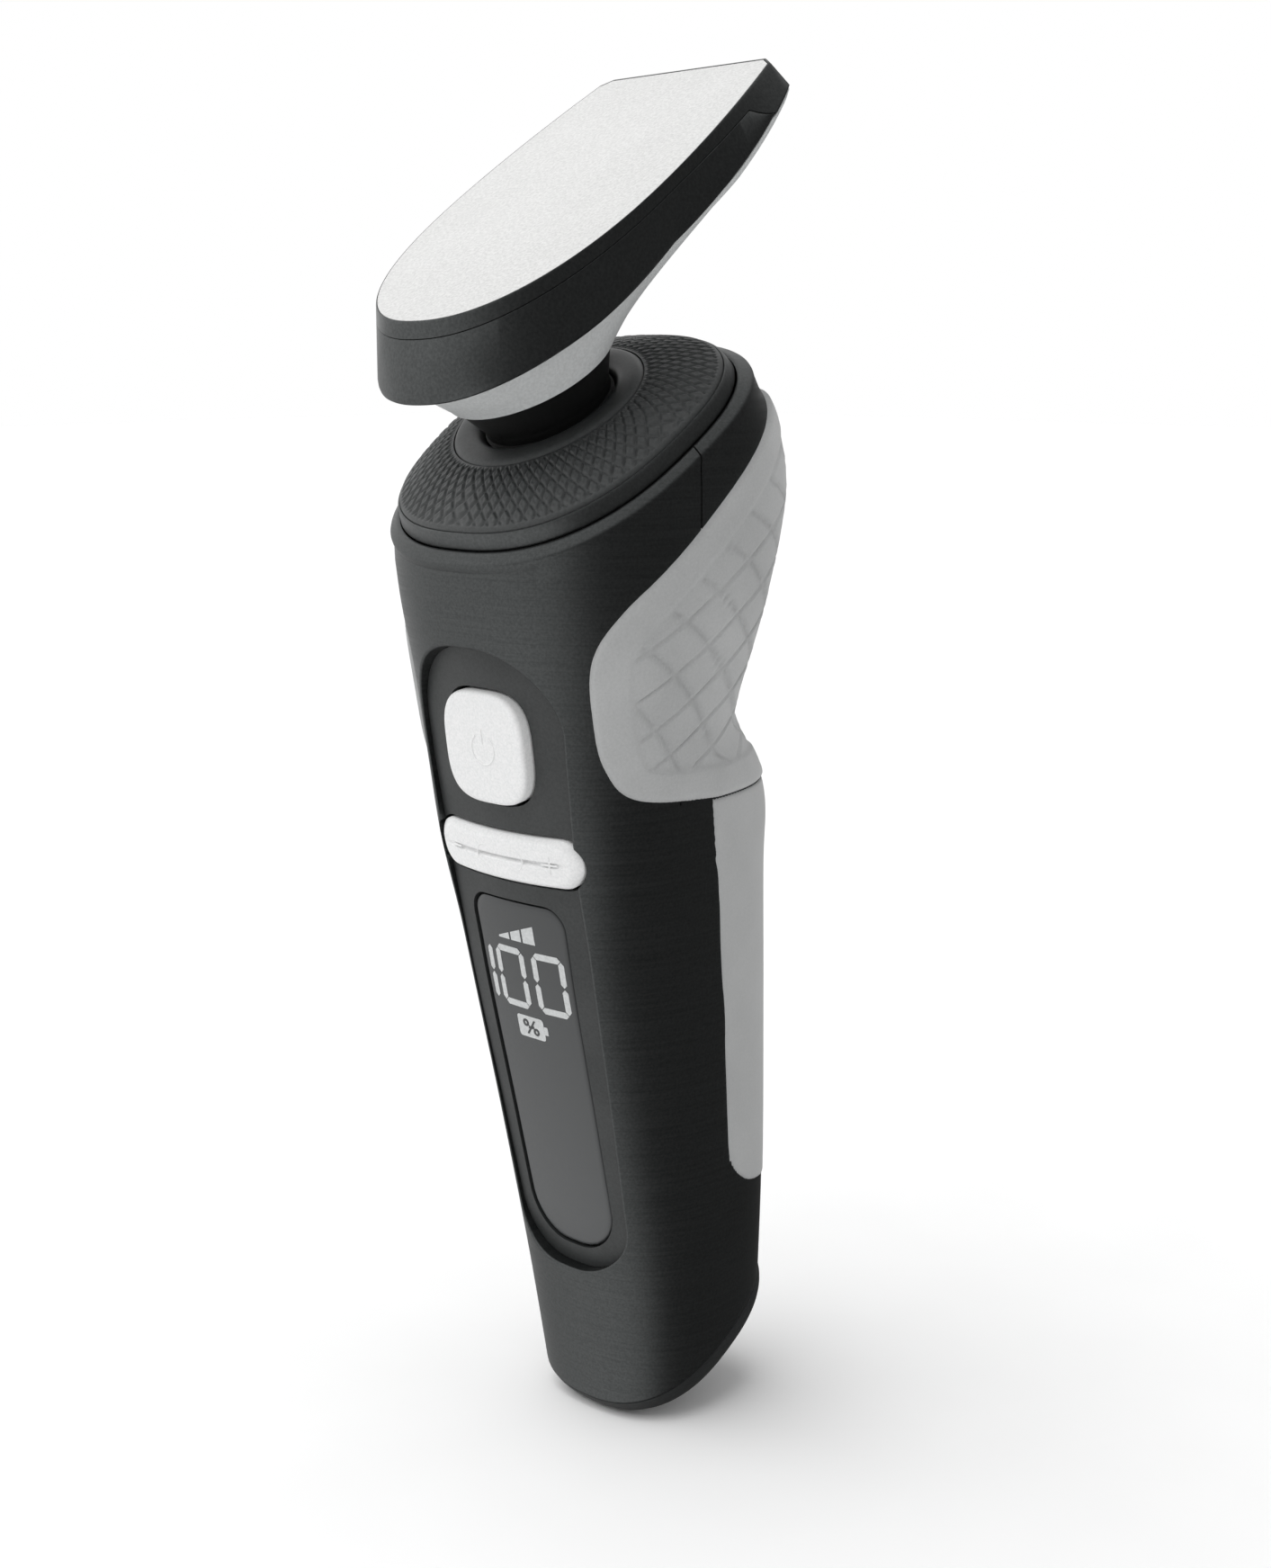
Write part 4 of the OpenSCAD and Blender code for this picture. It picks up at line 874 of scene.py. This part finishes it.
class SHAVER_OT_marks(bpy.types.Operator):
    """Models a generic read-out: 100, three rising level bars, and a battery with a percent sign."""

    bl_idname = "shaver.marks"
    bl_label = "Display marks"

    def execute(self, context):
        width, height, line = 5.2, 8.0, 0.85
        middle = DIGIT_Z / MM
        marks = []
        w, h, half = width / 2 - line / 2, height / 2 - line / 2, height / 4 - line / 4
        places = {"top": (0, h, width - line, 0), "low": (0, -h, width - line, 0),
                  "ur": (w, half, height / 2 - line * 0.6, 1), "lr": (w, -half, height / 2 - line * 0.6, 1),
                  "ul": (-w, half, height / 2 - line * 0.6, 1), "ll": (-w, -half, height / 2 - line * 0.6, 1)}
        digits = [(-6.1 - w, ("ur", "lr")), (-2.3, tuple(places)), (4.2, tuple(places))]
        for cx, on in digits:
            for key in on:
                x, z, length, upright = places[key]
                marks.append(segment(cx + x, middle + z, length - 0.12, line, upright))
        base, rise = middle + height / 2 + 1.0, 0.34
        for left, right in ((-3.7, -1.75), (-1.4, 0.35), (0.7, 2.7)):
            marks.append([(left, base), (right, base), (right, base + 0.25 + rise * (right + 3.7)),
                          (left, base + 0.25 + rise * (left + 3.7))])
        low = middle - height / 2 - 3.7
        body = np.concatenate([corner(cx, cz, 0.4, 0.4, start, 4) for cx, cz, start in (
            (1.3, low + 2.3, 0), (-2.5, low + 2.3, 90), (-2.5, low + 0.2, 180), (1.3, low + 0.2, 270))])
        marks += [body, [(1.72, low + 0.7), (2.3, low + 0.7), (2.3, low + 1.8), (1.72, low + 1.8)]]
        light = joined("display_marks", [printed(f"mark_{k}", m) for k, m in enumerate(marks)])
        ready(light, "handle", "printed_enamel", stands_for=("display_symbols",))
        dark = [[(-1.5, low + 0.3), (-1.2, low + 0.3), (0.3, low + 2.2), (0.0, low + 2.2)]]
        for cx, cz in ((-1.45, low + 1.75), (0.25, low + 0.75)):
            turn = np.radians(np.arange(0, 361, 30))
            outer = [(cx + 0.5 * math.cos(a), cz + 0.5 * math.sin(a)) for a in turn]
            inner = [(cx + 0.22 * math.cos(a), cz + 0.22 * math.sin(a)) for a in turn]
            dark += [[outer[k], outer[k + 1], inner[k + 1], inner[k]] for k in range(len(turn) - 1)]
        percent = joined("battery_percent", [printed(f"dark_{k}", m, 0.07) for k, m in enumerate(dark)])
        ready(percent, "handle", "printed_dark")
        return {"FINISHED"}


def rod(name, points, r, z, curve=0.0):
    """Thin half-sunk rod along points (x, up, out) on a key, for an embossed mark."""
    points = np.array(points) * MM
    along = np.gradient(points, axis=0)
    along /= np.linalg.norm(along, axis=1)[:, None]
    side = np.cross(along, (0, 0, 1))
    rings = []
    for a in np.radians(range(0, 360, 45)):
        rings.append(points + r * MM * (side * math.cos(a) + np.array((0, 0, 1)) * math.sin(a)))
    rings = np.moveaxis(np.array(rings), 0, 1)
    return lofted(name, [on_panel(z, ring, curve) for ring in rings])


class SHAVER_OT_power_key(bpy.types.Operator):
    """Models the domed power key with its raised sign."""

    bl_idname = "shaver.power_key"
    bl_label = "Power key"

    def execute(self, context):
        rings = []
        for inset, out in ((0, -3), (0, 0.3), (0.07, 0.58), (0.22, 0.78), (0.45, 0.88), (0.8, 0.9)):
            outline = superellipse((6.75 - inset) * MM, (6.9 - inset) * MM, 3.2, 96)
            rings.append(key_ring(POWER_Z, outline, out * MM))
        for share in (0.8, 0.6, 0.4, 0.2):
            face = superellipse(5.95 * share * MM, 6.1 * share * MM, 3.0, 96)
            rings.append(key_ring(POWER_Z, face, 0.9 * MM))
        key = lofted("power_key_cap", rings)
        turn = np.radians(np.linspace(125, 415, 40))
        arc = [(1.9 * math.cos(a), 1.9 * math.sin(a) - 0.1, 0.87) for a in turn]
        stem = [(0, z, 0.87) for z in np.linspace(0.5, 2.3, 6)]
        marks = [rod("power_arc", arc, 0.13, POWER_Z), rod("power_stem", stem, 0.13, POWER_Z)]
        ready(joined("power_key_cap", [key] + marks), "power_key", "white_abs_key",
              stands_for=("power_button",))
        return {"FINISHED"}


def bar_outline(outline):
    """The stadium with the same number of points along its straight sides at every size."""
    p = np.vstack((outline, outline[:1]))
    run = np.concatenate(([0], np.cumsum(np.linalg.norm(np.diff(p, axis=0), axis=1))))
    at = np.linspace(0, run[-1], 161)[:-1]
    return np.stack([np.interp(at, run, p[:, i]) for i in (0, 1)], -1)


class SHAVER_OT_menu_key(bpy.types.Operator):
    """Models the rocking bar with its chamfered edge and broad ends."""

    bl_idname = "shaver.menu_key"
    bl_label = "Menu key"

    def execute(self, context):
        curve = 1 / (2 * PANEL_R)
        rings = []
        chamfer = ((0, 0, -2.2), (0, 0, 0.2), (0.1, 0.06, 0.32), (1.15, 0.5, 0.86), (1.4, 0.65, 0.9))
        for end, side, out in chamfer:
            outline = stadium(BAR_LENGTH / 2 - end * MM, BAR_H / 2 - side * MM)
            rings.append(key_ring(BAR_Z, bar_outline(outline), out * MM, curve))
        flat = bar_outline(stadium(10.9 * MM, 2.4 * MM))
        for share in (0.85, 0.6, 0.35, 0.15):
            rings.append(key_ring(BAR_Z, flat * np.array((1, share)), 0.9 * MM, curve))
        key = lofted("menu_key_bar", rings)
        frame_line = stadium(3.9 * MM, 1.25 * MM) / MM
        frame_line = np.vstack((frame_line, frame_line[:1]))
        marks = [rod("menu_frame", [(x, z, 0.86) for x, z in frame_line], 0.1, BAR_Z, curve)]
        for name, line in (("minus", [(x, 0) for x in np.linspace(-8.9, -7.3, 5)]),
                           ("plus_across", [(x, 0) for x in np.linspace(6.9, 9.1, 5)]),
                           ("plus_up", [(8.0, z) for z in np.linspace(-1.1, 1.1, 5)])):
            marks.append(rod(name, [(x, z, 0.86) for x, z in line], 0.12, BAR_Z, curve))
        ready(joined("menu_key_bar", [key] + marks), "menu_key", "white_abs_key",
              stands_for=("menu_bar",))
        return {"FINISHED"}


# ---- Deck ----------------------------------------------------------------------------------------
class SHAVER_OT_bevel(bpy.types.Operator):
    """Models the bevelled band round the disc, above a dark groove."""

    bl_idname = "shaver.bevel"
    bl_label = "Deck bevel"

    def execute(self, context):
        n, count = SQUARENESS, 200
        ex, ey = RIM[2], RIM[3]
        rows = [(ex - a * MM, ey - b * MM, h) for a, b, h in (
            (2.7, 3.2, -1.2), (2.7, 3.2, 1.7), (0.95, 0.95, 1.75), (0.72, 0.72, 2.0), (0.66, 0.66, 2.25))]
        rows += [(DISC_RX + a * MM, DISC_RY + a * MM, h) for a, h in (
            (0.42, 3.55), (0.36, 3.8), (0.24, 3.94), (0.1, 3.96), (0.03, 3.85), (0.03, 2.6))]
        rows += [(ex - 4.5 * MM, ey - 5.1 * MM, 2.6), (ex - 4.5 * MM, ey - 5.1 * MM, -1.2)]
        obj = lofted("deck_bevel", [deck_ring_points(a, b, n, h * MM, count) for a, b, h in rows], loop=True)
        ready(obj, "handle", "satin_abs_ring", stands_for=("deck_ring",))
        return {"FINISHED"}


class SHAVER_OT_disc(bpy.types.Operator):
    """Models the domed disc and its two families of crossing engraved lines, which stop short of its rim."""

    bl_idname = "shaver.disc"
    bl_label = "Knurled disc"

    def execute(self, context):
        sizes = context.scene.shaver_sizes
        count = sizes.knurl_lines * 15
        t = np.arange(count) * TAU / count
        top = []
        for f in np.linspace(0.03, 1, 48):
            n = 2.5 - 0.5 * f
            rx, ry = DISC_RX + (COLLAR_R - DISC_RX) * f, DISC_RY + (COLLAR_R - DISC_RY) * f
            shown = np.clip(min(f - 0.06, 0.965 - f) / 0.02, 0, 1)
            turn = t * sizes.knurl_lines / TAU
            near = np.full(count, 1e9)
            for way in (1, -1):
                phase = turn + way * 3.5 * f
                near = np.minimum(near, np.abs(phase - np.round(phase)) * 1.3 * MM)
            groove = np.exp(-((near / (0.15 * MM)) ** 2))
            ridge = np.exp(-(((near - 0.32 * MM) / (0.14 * MM)) ** 2))
            h = DISC_H + DISC_RISE * (1 - (1 - f) ** 1.5)
            h = h + shown * (0.05 * MM * ridge - sizes.knurl_depth * groove)
            top.append(deck_point(rx * signed_power(np.cos(t), n), ry * signed_power(np.sin(t), n), h))
        edge = [deck_ring_points(DISC_RX - a * MM, DISC_RY - a * MM, 2.5, h * MM, count)
                for a, h in ((0, 2.7), (0, 4.05), (0.05, 4.2))]
        inner = [deck_ring_points(COLLAR_R + 0.01 * MM, COLLAR_R + 0.01 * MM, 2, 2.7 * MM, count)]
        obj = lofted("knurled_disc_top", edge + top + inner, loop=True)
        ready(obj, "handle", "satin_abs_deck", angle=60, stands_for=("knurled_disc",))
        return {"FINISHED"}


class SHAVER_OT_collar(bpy.types.Operator):
    """Models the rounded collar that the head's neck stands in."""

    bl_idname = "shaver.collar"
    bl_label = "Collar"

    def execute(self, context):
        r = COLLAR_R - 0.05 * MM
        profile = [(SOCKET_R, 0.5 * MM), (r, 0.5 * MM), (r, COLLAR_TOP - 0.75 * MM)]
        profile += [(r - a * MM, COLLAR_TOP - b * MM) for a, b in (
            (0.12, 0.5), (0.35, 0.25), (0.8, 0.08), (1.5, 0), (2.4, 0),
            (2.9, 0.08), (3.25, 0.28), (3.5, 0.6), (3.8, 1.2))]
        obj = turned("collar_ring_top", profile, 128)
        ready(obj, "handle", "satin_abs_deck", stands_for=("collar_ring",))
        return {"FINISHED"}


# ---- Trimmer head --------------------------------------------------------------------------------
def head_half(v):
    return HEAD_W * (1 - 0.21 * np.clip((v - V_WIDE) / (HEAD_BACK - V_WIDE), 0, None) ** 1.8)


def head_point(p, h, fall=0.0, out=0.0):
    """Point of the head from its outline: moved sideways, turned about the neck, then dropped."""
    x, v = (p + out).T
    turned_x = x * math.cos(HEAD_TURN) - v * math.sin(HEAD_TURN)
    turned_v = x * math.sin(HEAD_TURN) + v * math.cos(HEAD_TURN)
    down = np.zeros((len(p), 3))
    down[:, 2] = fall
    return deck_point(turned_x, turned_v, h) - down


def head_outline(inset, back=HEAD_BACK):
    """The head seen square to its plate, as (x, v), from the right side round the back and the front."""
    v = np.linspace(V_WIDE, back - inset - 1.2 * MM, 61)[1:]
    side = np.stack((head_half(v) - inset, v), -1)
    edge = head_half(np.array(back)) - inset - 1.1 * MM
    end = np.stack((np.linspace(edge, -edge, 25), np.full(25, back - inset)), -1)
    t = np.radians(np.linspace(180, 360, 121))
    front = np.stack(((HEAD_W - inset) * signed_power(np.cos(t), 2.3),
                      V_WIDE + (V_WIDE + HEAD_FRONT - inset) * signed_power(np.sin(t), 2.3)), -1)
    return np.concatenate((side, end, side[::-1] * (-1, 1), front[:-1], front[-1:]))


def side_depth(v):
    return (9.5 - 5.9 * np.clip((v - 2 * MM) / (HEAD_BACK - 2 * MM), 0, 1) ** 1.6) * MM


def seam_depth(v):
    """Depth of the seam under the bezel; near the tip the bezel runs down to the head's lower edge."""
    bezel = 2 * MM - 0.004 * (v + HEAD_FRONT)
    drop = np.clip((v - (HEAD_BACK - 9.5 * MM)) / (4.2 * MM), 0, 1)
    return bezel + (side_depth(v) - 0.3 * MM - bezel) * drop


def flare(p, fall):
    """How far the side leans out as it goes down, growing towards the tip."""
    tip = np.clip((p[:, 1] - 18 * MM) / (HEAD_BACK - 18 * MM), 0, 1)
    return outward(p) * (0.75 * tip * np.minimum(fall, side_depth(p[:, 1])))[:, None]


def head_ring(inset, drop, back=HEAD_BACK):
    """Ring of the head below its outline by drop, which may be a function of v."""
    p = head_outline(inset * MM, back)
    fall = drop(p[:, 1]) if callable(drop) else drop * MM + 0 * p[:, 1]
    return head_point(p, HEAD_H, fall, flare(p, fall))


class SHAVER_OT_plate(bpy.types.Operator):
    """Models the head's white top plate."""

    bl_idname = "shaver.plate"
    bl_label = "Plate"

    def execute(self, context):
        def ring(inset, h):
            return head_point(head_outline(inset * MM, PLATE_BACK), HEAD_H + h * MM)

        edge = ((0.14, -0.8), (0.14, -0.08), (0.17, -0.02), (0.25, 0))
        obj = lofted("trimmer_plate_top", [ring(inset, h) for inset, h in edge])
        ready(obj, "attachment", "flaked_white_plate", stands_for=("trimmer_plate",))
        return {"FINISHED"}


class SHAVER_OT_bezel(bpy.types.Operator):
    """Models the band round the plate, with the slot for the blades."""

    bl_idname = "shaver.bezel"
    bl_label = "Bezel"

    def execute(self, context):
        rings = [head_ring(0, lambda v: seam_depth(v) - 0.07 * MM), head_ring(0, 1.2), head_ring(0, 0.35),
                 head_ring(0.02, 0.12), head_ring(0.06, 0.04), head_ring(0.1, 0.01, PLATE_BACK),
                 head_ring(0.1, 0.85, PLATE_BACK), head_ring(1.5, 1.0), head_ring(1.5, seam_depth)]
        obj = lofted("trimmer_bezel_band", rings, loop=True)
        near, far = TIP_V - 4 * MM, HEAD_BACK + 4 * MM
        corners = ((-11.7, near), (11.7, near), (11.7, far), (-11.7, far))
        slot = [[deck_point(x * MM, v, h * MM) for x, v in corners] for h in (23.9, 25.1)]
        cut(obj, lofted("blade_slot", slot))
        ready(obj, "attachment", "metallised_abs_head", stands_for=("trimmer_bezel",))
        return {"FINISHED"}


class SHAVER_OT_side_wall(bpy.types.Operator):
    """Models the head's dark side with its rounded lower edge."""

    bl_idname = "shaver.side_wall"
    bl_label = "Side wall"

    def execute(self, context):
        def above(gap):
            return lambda v: side_depth(v) - np.minimum(gap * MM, side_depth(v) - seam_depth(v) - 0.1 * MM)

        def below_seam(gap):
            return lambda v: seam_depth(v) + gap * MM

        rings = [head_ring(0.04, below_seam(0.05)), head_ring(0, below_seam(0.09)),
                 head_ring(0, above(1.2)), head_ring(0.07, above(0.7)), head_ring(0.22, above(0.32)),
                 head_ring(0.5, above(0.08)), head_ring(0.85, side_depth), head_ring(1.5, side_depth),
                 head_ring(1.5, below_seam(0.05))]
        obj = lofted("trimmer_side_wall", rings, loop=True)
        ready(obj, "attachment", "metallised_abs_head", stands_for=("trimmer_side",))
        return {"FINISHED"}


class SHAVER_OT_funnel(bpy.types.Operator):
    """Models the grey shell under the head, from the side's lower edge in to the round neck."""

    bl_idname = "shaver.funnel"
    bl_label = "Funnel"

    def execute(self, context):
        rings = []
        bulge = np.polyfit((0, 0.25, 0.55, 0.82, 1), (1.2, 1.5, 1.6, 1.2, 0), 4)
        edge = head_outline(0.15 * MM)
        # Set well in under the front, and level with the side near the tip
        front = 1 - np.clip((edge[:, 1] - 2 * MM) / (28 * MM), 0, 1)
        edge = edge - outward(edge) * (2.3 * MM * front)[:, None]
        low = edge - outward(edge) * 1.2 * MM
        angle = np.arctan2(low[:, 1] - 9 * MM, low[:, 0])
        neck = head_point(FUNNEL_R * np.stack((np.cos(angle), np.sin(angle)), -1), NECK_TOP)

        def below(p, extra):
            fall = side_depth(p[:, 1]) + extra * MM * (1 - 0.5 * front)
            return head_point(p, HEAD_H, fall, flare(p, fall))

        for share in np.linspace(1, 0, 30):
            rings.append(neck * share + below(low, np.polyval(bulge, share)) * (1 - share))
        rings += [below(edge - outward(edge) * inset * MM, extra)
                  for inset, extra in ((0.5, 0.95), (0.15, 0.6), (0, 0.25), (0, -0.15))]
        obj = lofted("trimmer_funnel", rings)
        ready(obj, "attachment", "light_grey_abs", angle=50, stands_for=("trimmer_base",))
        return {"FINISHED"}


class SHAVER_OT_neck(bpy.types.Operator):
    """Models the black neck that plugs into the collar."""

    bl_idname = "shaver.neck"
    bl_label = "Neck"

    def execute(self, context):
        r = SOCKET_R - 0.3 * MM
        low = COLLAR_TOP - 2 * MM
        profile = [(r * 0.4, low), (r, low), (r, COLLAR_TOP + 0.3 * MM),
                   (r + 0.1 * MM, COLLAR_TOP + 0.5 * MM), (FUNNEL_R - 0.5 * MM, NECK_TOP - 0.15 * MM),
                   (FUNNEL_R - 0.6 * MM, NECK_TOP), (r * 0.4, NECK_TOP)]
        obj = turned("trimmer_neck_cone", profile, 96)
        ready(obj, "attachment", "black_pom", stands_for=("trimmer_neck",))
        return {"FINISHED"}


# ---- Studio --------------------------------------------------------------------------------------
class SHAVER_OT_studio(bpy.types.Operator):
    """Adds the pale floor, the soft light and the camera."""

    bl_idname = "shaver.studio"
    bl_label = "Studio"

    def execute(self, context):
        scene = bpy.context.scene
        scene.view_settings.view_transform = "Standard"
        bpy.ops.object.select_all(action="DESELECT")
        bpy.ops.mesh.primitive_plane_add(size=6, location=(0, 0, 0))
        floor = bpy.context.object
        floor.name = "studio_floor"
        mat, tree, shader, coords = started("matt_paper", **{"Roughness": 0.95, "Specular IOR Level": 0.1})
        grain = add(tree, "ShaderNodeTexNoise", {"Vector": coords, "Scale": 30.0}).outputs["Fac"]
        tree.links.new(toned(tree, grain, "#f4f4f4", "#f6f6f6"), shader.inputs["Base Color"])
        floor.data.materials.append(mat)

        world = bpy.data.worlds.new("white_studio")
        scene.world = world
        world.use_nodes = True
        tree = world.node_tree
        tree.nodes.clear()
        # Reflections see a bright wall at the upper left, its bounce low in front, and a dark right side
        way = add(tree, "ShaderNodeTexCoord").outputs["Generated"]

        def patch(direction, low, high, dark, light):
            toward = add(tree, "ShaderNodeVectorMath", {0: way, 1: direction},
                         operation="DOT_PRODUCT").outputs["Value"]
            return add(tree, "ShaderNodeMapRange", {0: toward, 1: low, 2: high, 3: dark, 4: light},
                       interpolation_type="SMOOTHSTEP").outputs[0]

        wall = patch((-0.78, -0.22, 0.58), -0.3, 0.95, 0.1, 1.1)
        bounce = patch((-0.3, -0.75, -0.6), 0.3, 1.0, 0.0, 1.0)
        level = add(tree, "ShaderNodeMath", {0: wall, 1: bounce}, operation="MAXIMUM").outputs[0]
        rays = add(tree, "ShaderNodeLightPath")
        mirrored = add(tree, "ShaderNodeBackground", {"Color": (1, 1, 1, 1), "Strength": level})
        even = add(tree, "ShaderNodeBackground", {"Color": (1, 1, 1, 1), "Strength": 0.55})
        white = add(tree, "ShaderNodeBackground", {"Color": (1, 1, 1, 1), "Strength": 1.0})
        light = add(tree, "ShaderNodeMixShader", {0: rays.outputs["Is Glossy Ray"], 1: even.outputs[0],
                                                  2: mirrored.outputs[0]})
        both = add(tree, "ShaderNodeMixShader", {0: rays.outputs["Is Camera Ray"], 1: light.outputs[0],
                                                 2: white.outputs[0]})
        add(tree, "ShaderNodeOutputWorld", {"Surface": both.outputs[0]})

        lamp = bpy.data.lights.new("overhead_softbox", "SUN")
        lamp.energy = 2.15
        lamp.angle = math.radians(75)
        overhead = bpy.data.objects.new("overhead_softbox", lamp)
        scene.collection.objects.link(overhead)
        overhead.rotation_euler = Vector((-0.3, -0.35, 1)).to_track_quat("Z", "Y").to_euler()
        # Broad light that brightens without adding its own highlight
        overhead.visible_glossy = False
        floor.visible_glossy = False

        lens = bpy.data.cameras.new("camera")
        camera = bpy.data.objects.new("camera", lens)
        scene.collection.objects.link(camera)
        camera.location = CAMERA_PLACE
        camera.rotation_euler = (CAMERA_TILT, 0, CAMERA_TURN)
        lens.lens = FOCAL_LENGTH
        lens.sensor_width = 36
        lens.clip_start = 10 * MM
        scene.camera = camera
        return {"FINISHED"}


# ---- Add-on --------------------------------------------------------------------------------------
class ShaverSizes(bpy.types.PropertyGroup):
    """Sizes of the surface patterns."""

    knurl_lines: bpy.props.IntProperty(
        name="Knurl lines", description="Engraved lines in each family on the disc",
        default=66, min=30, max=90)
    knurl_depth: bpy.props.FloatProperty(
        name="Knurl depth", description="Depth of the disc's lines", default=0.24 * MM, subtype="DISTANCE",
        unit="LENGTH")
    lattice_pitch: bpy.props.FloatProperty(
        name="Lattice pitch", description="Height of one diamond on the grip", default=6.2 * MM,
        subtype="DISTANCE", unit="LENGTH")
    lattice_depth: bpy.props.FloatProperty(
        name="Lattice depth", description="Depth of the grip's lines", default=0.22 * MM, subtype="DISTANCE",
        unit="LENGTH")


def colour_property(label, hex_colour):
    """A colour for the panel, given in hex."""
    return bpy.props.FloatVectorProperty(
        name=label, description=label + " tone of the finish's pattern", subtype="COLOR", size=3,
        min=0, max=1, default=linear(hex_colour)[:3])


class ShaverColours(bpy.types.PropertyGroup):
    """The two tones of each main finish."""

    shell_dark: colour_property("Shell, darker", "#4a4c4c")
    shell_light: colour_property("Shell, lighter", "#585a5a")
    grip_dark: colour_property("Grip, darker", "#9fa0a0")
    grip_light: colour_property("Grip, lighter", "#b0b1b1")
    plate_dark: colour_property("Plate, darker", "#c6c6c5")
    plate_light: colour_property("Plate, lighter", "#dadad9")
    key_dark: colour_property("Keys, darker", "#e2e3e3")
    key_light: colour_property("Keys, lighter", "#efefef")


STEPS = (
    SHAVER_OT_parts,
    SHAVER_OT_shells,
    SHAVER_OT_grip,
    SHAVER_OT_cover,
    SHAVER_OT_cap,
    SHAVER_OT_panel,
    SHAVER_OT_window,
    SHAVER_OT_marks,
    SHAVER_OT_power_key,
    SHAVER_OT_menu_key,
    SHAVER_OT_bevel,
    SHAVER_OT_disc,
    SHAVER_OT_collar,
    SHAVER_OT_plate,
    SHAVER_OT_bezel,
    SHAVER_OT_side_wall,
    SHAVER_OT_funnel,
    SHAVER_OT_neck,
    SHAVER_OT_studio,
)


class SHAVER_PT_panel(bpy.types.Panel):
    """Lists the steps that build the shaver."""

    bl_label = "Electric Shaver"
    bl_space_type = "VIEW_3D"
    bl_region_type = "UI"
    bl_category = "Shaver"

    def draw(self, context):
        for group in (context.scene.shaver_sizes, context.scene.shaver_colours):
            for key in type(group).__annotations__:
                self.layout.prop(group, key)
        for operator in STEPS:
            self.layout.operator(operator.bl_idname)


CLASSES = (ShaverSizes, ShaverColours, *STEPS, SHAVER_PT_panel)


def register():
    for cls in CLASSES:
        bpy.utils.register_class(cls)
    bpy.types.Scene.shaver_sizes = bpy.props.PointerProperty(type=ShaverSizes)
    bpy.types.Scene.shaver_colours = bpy.props.PointerProperty(type=ShaverColours)


def unregister():
    del bpy.types.Scene.shaver_colours
    del bpy.types.Scene.shaver_sizes
    for cls in reversed(CLASSES):
        bpy.utils.unregister_class(cls)


def main():
    register()
    for operator in STEPS:
        group, name = operator.bl_idname.split(".")
        getattr(getattr(bpy.ops, group), name)()


if __name__ == "__main__":
    main()
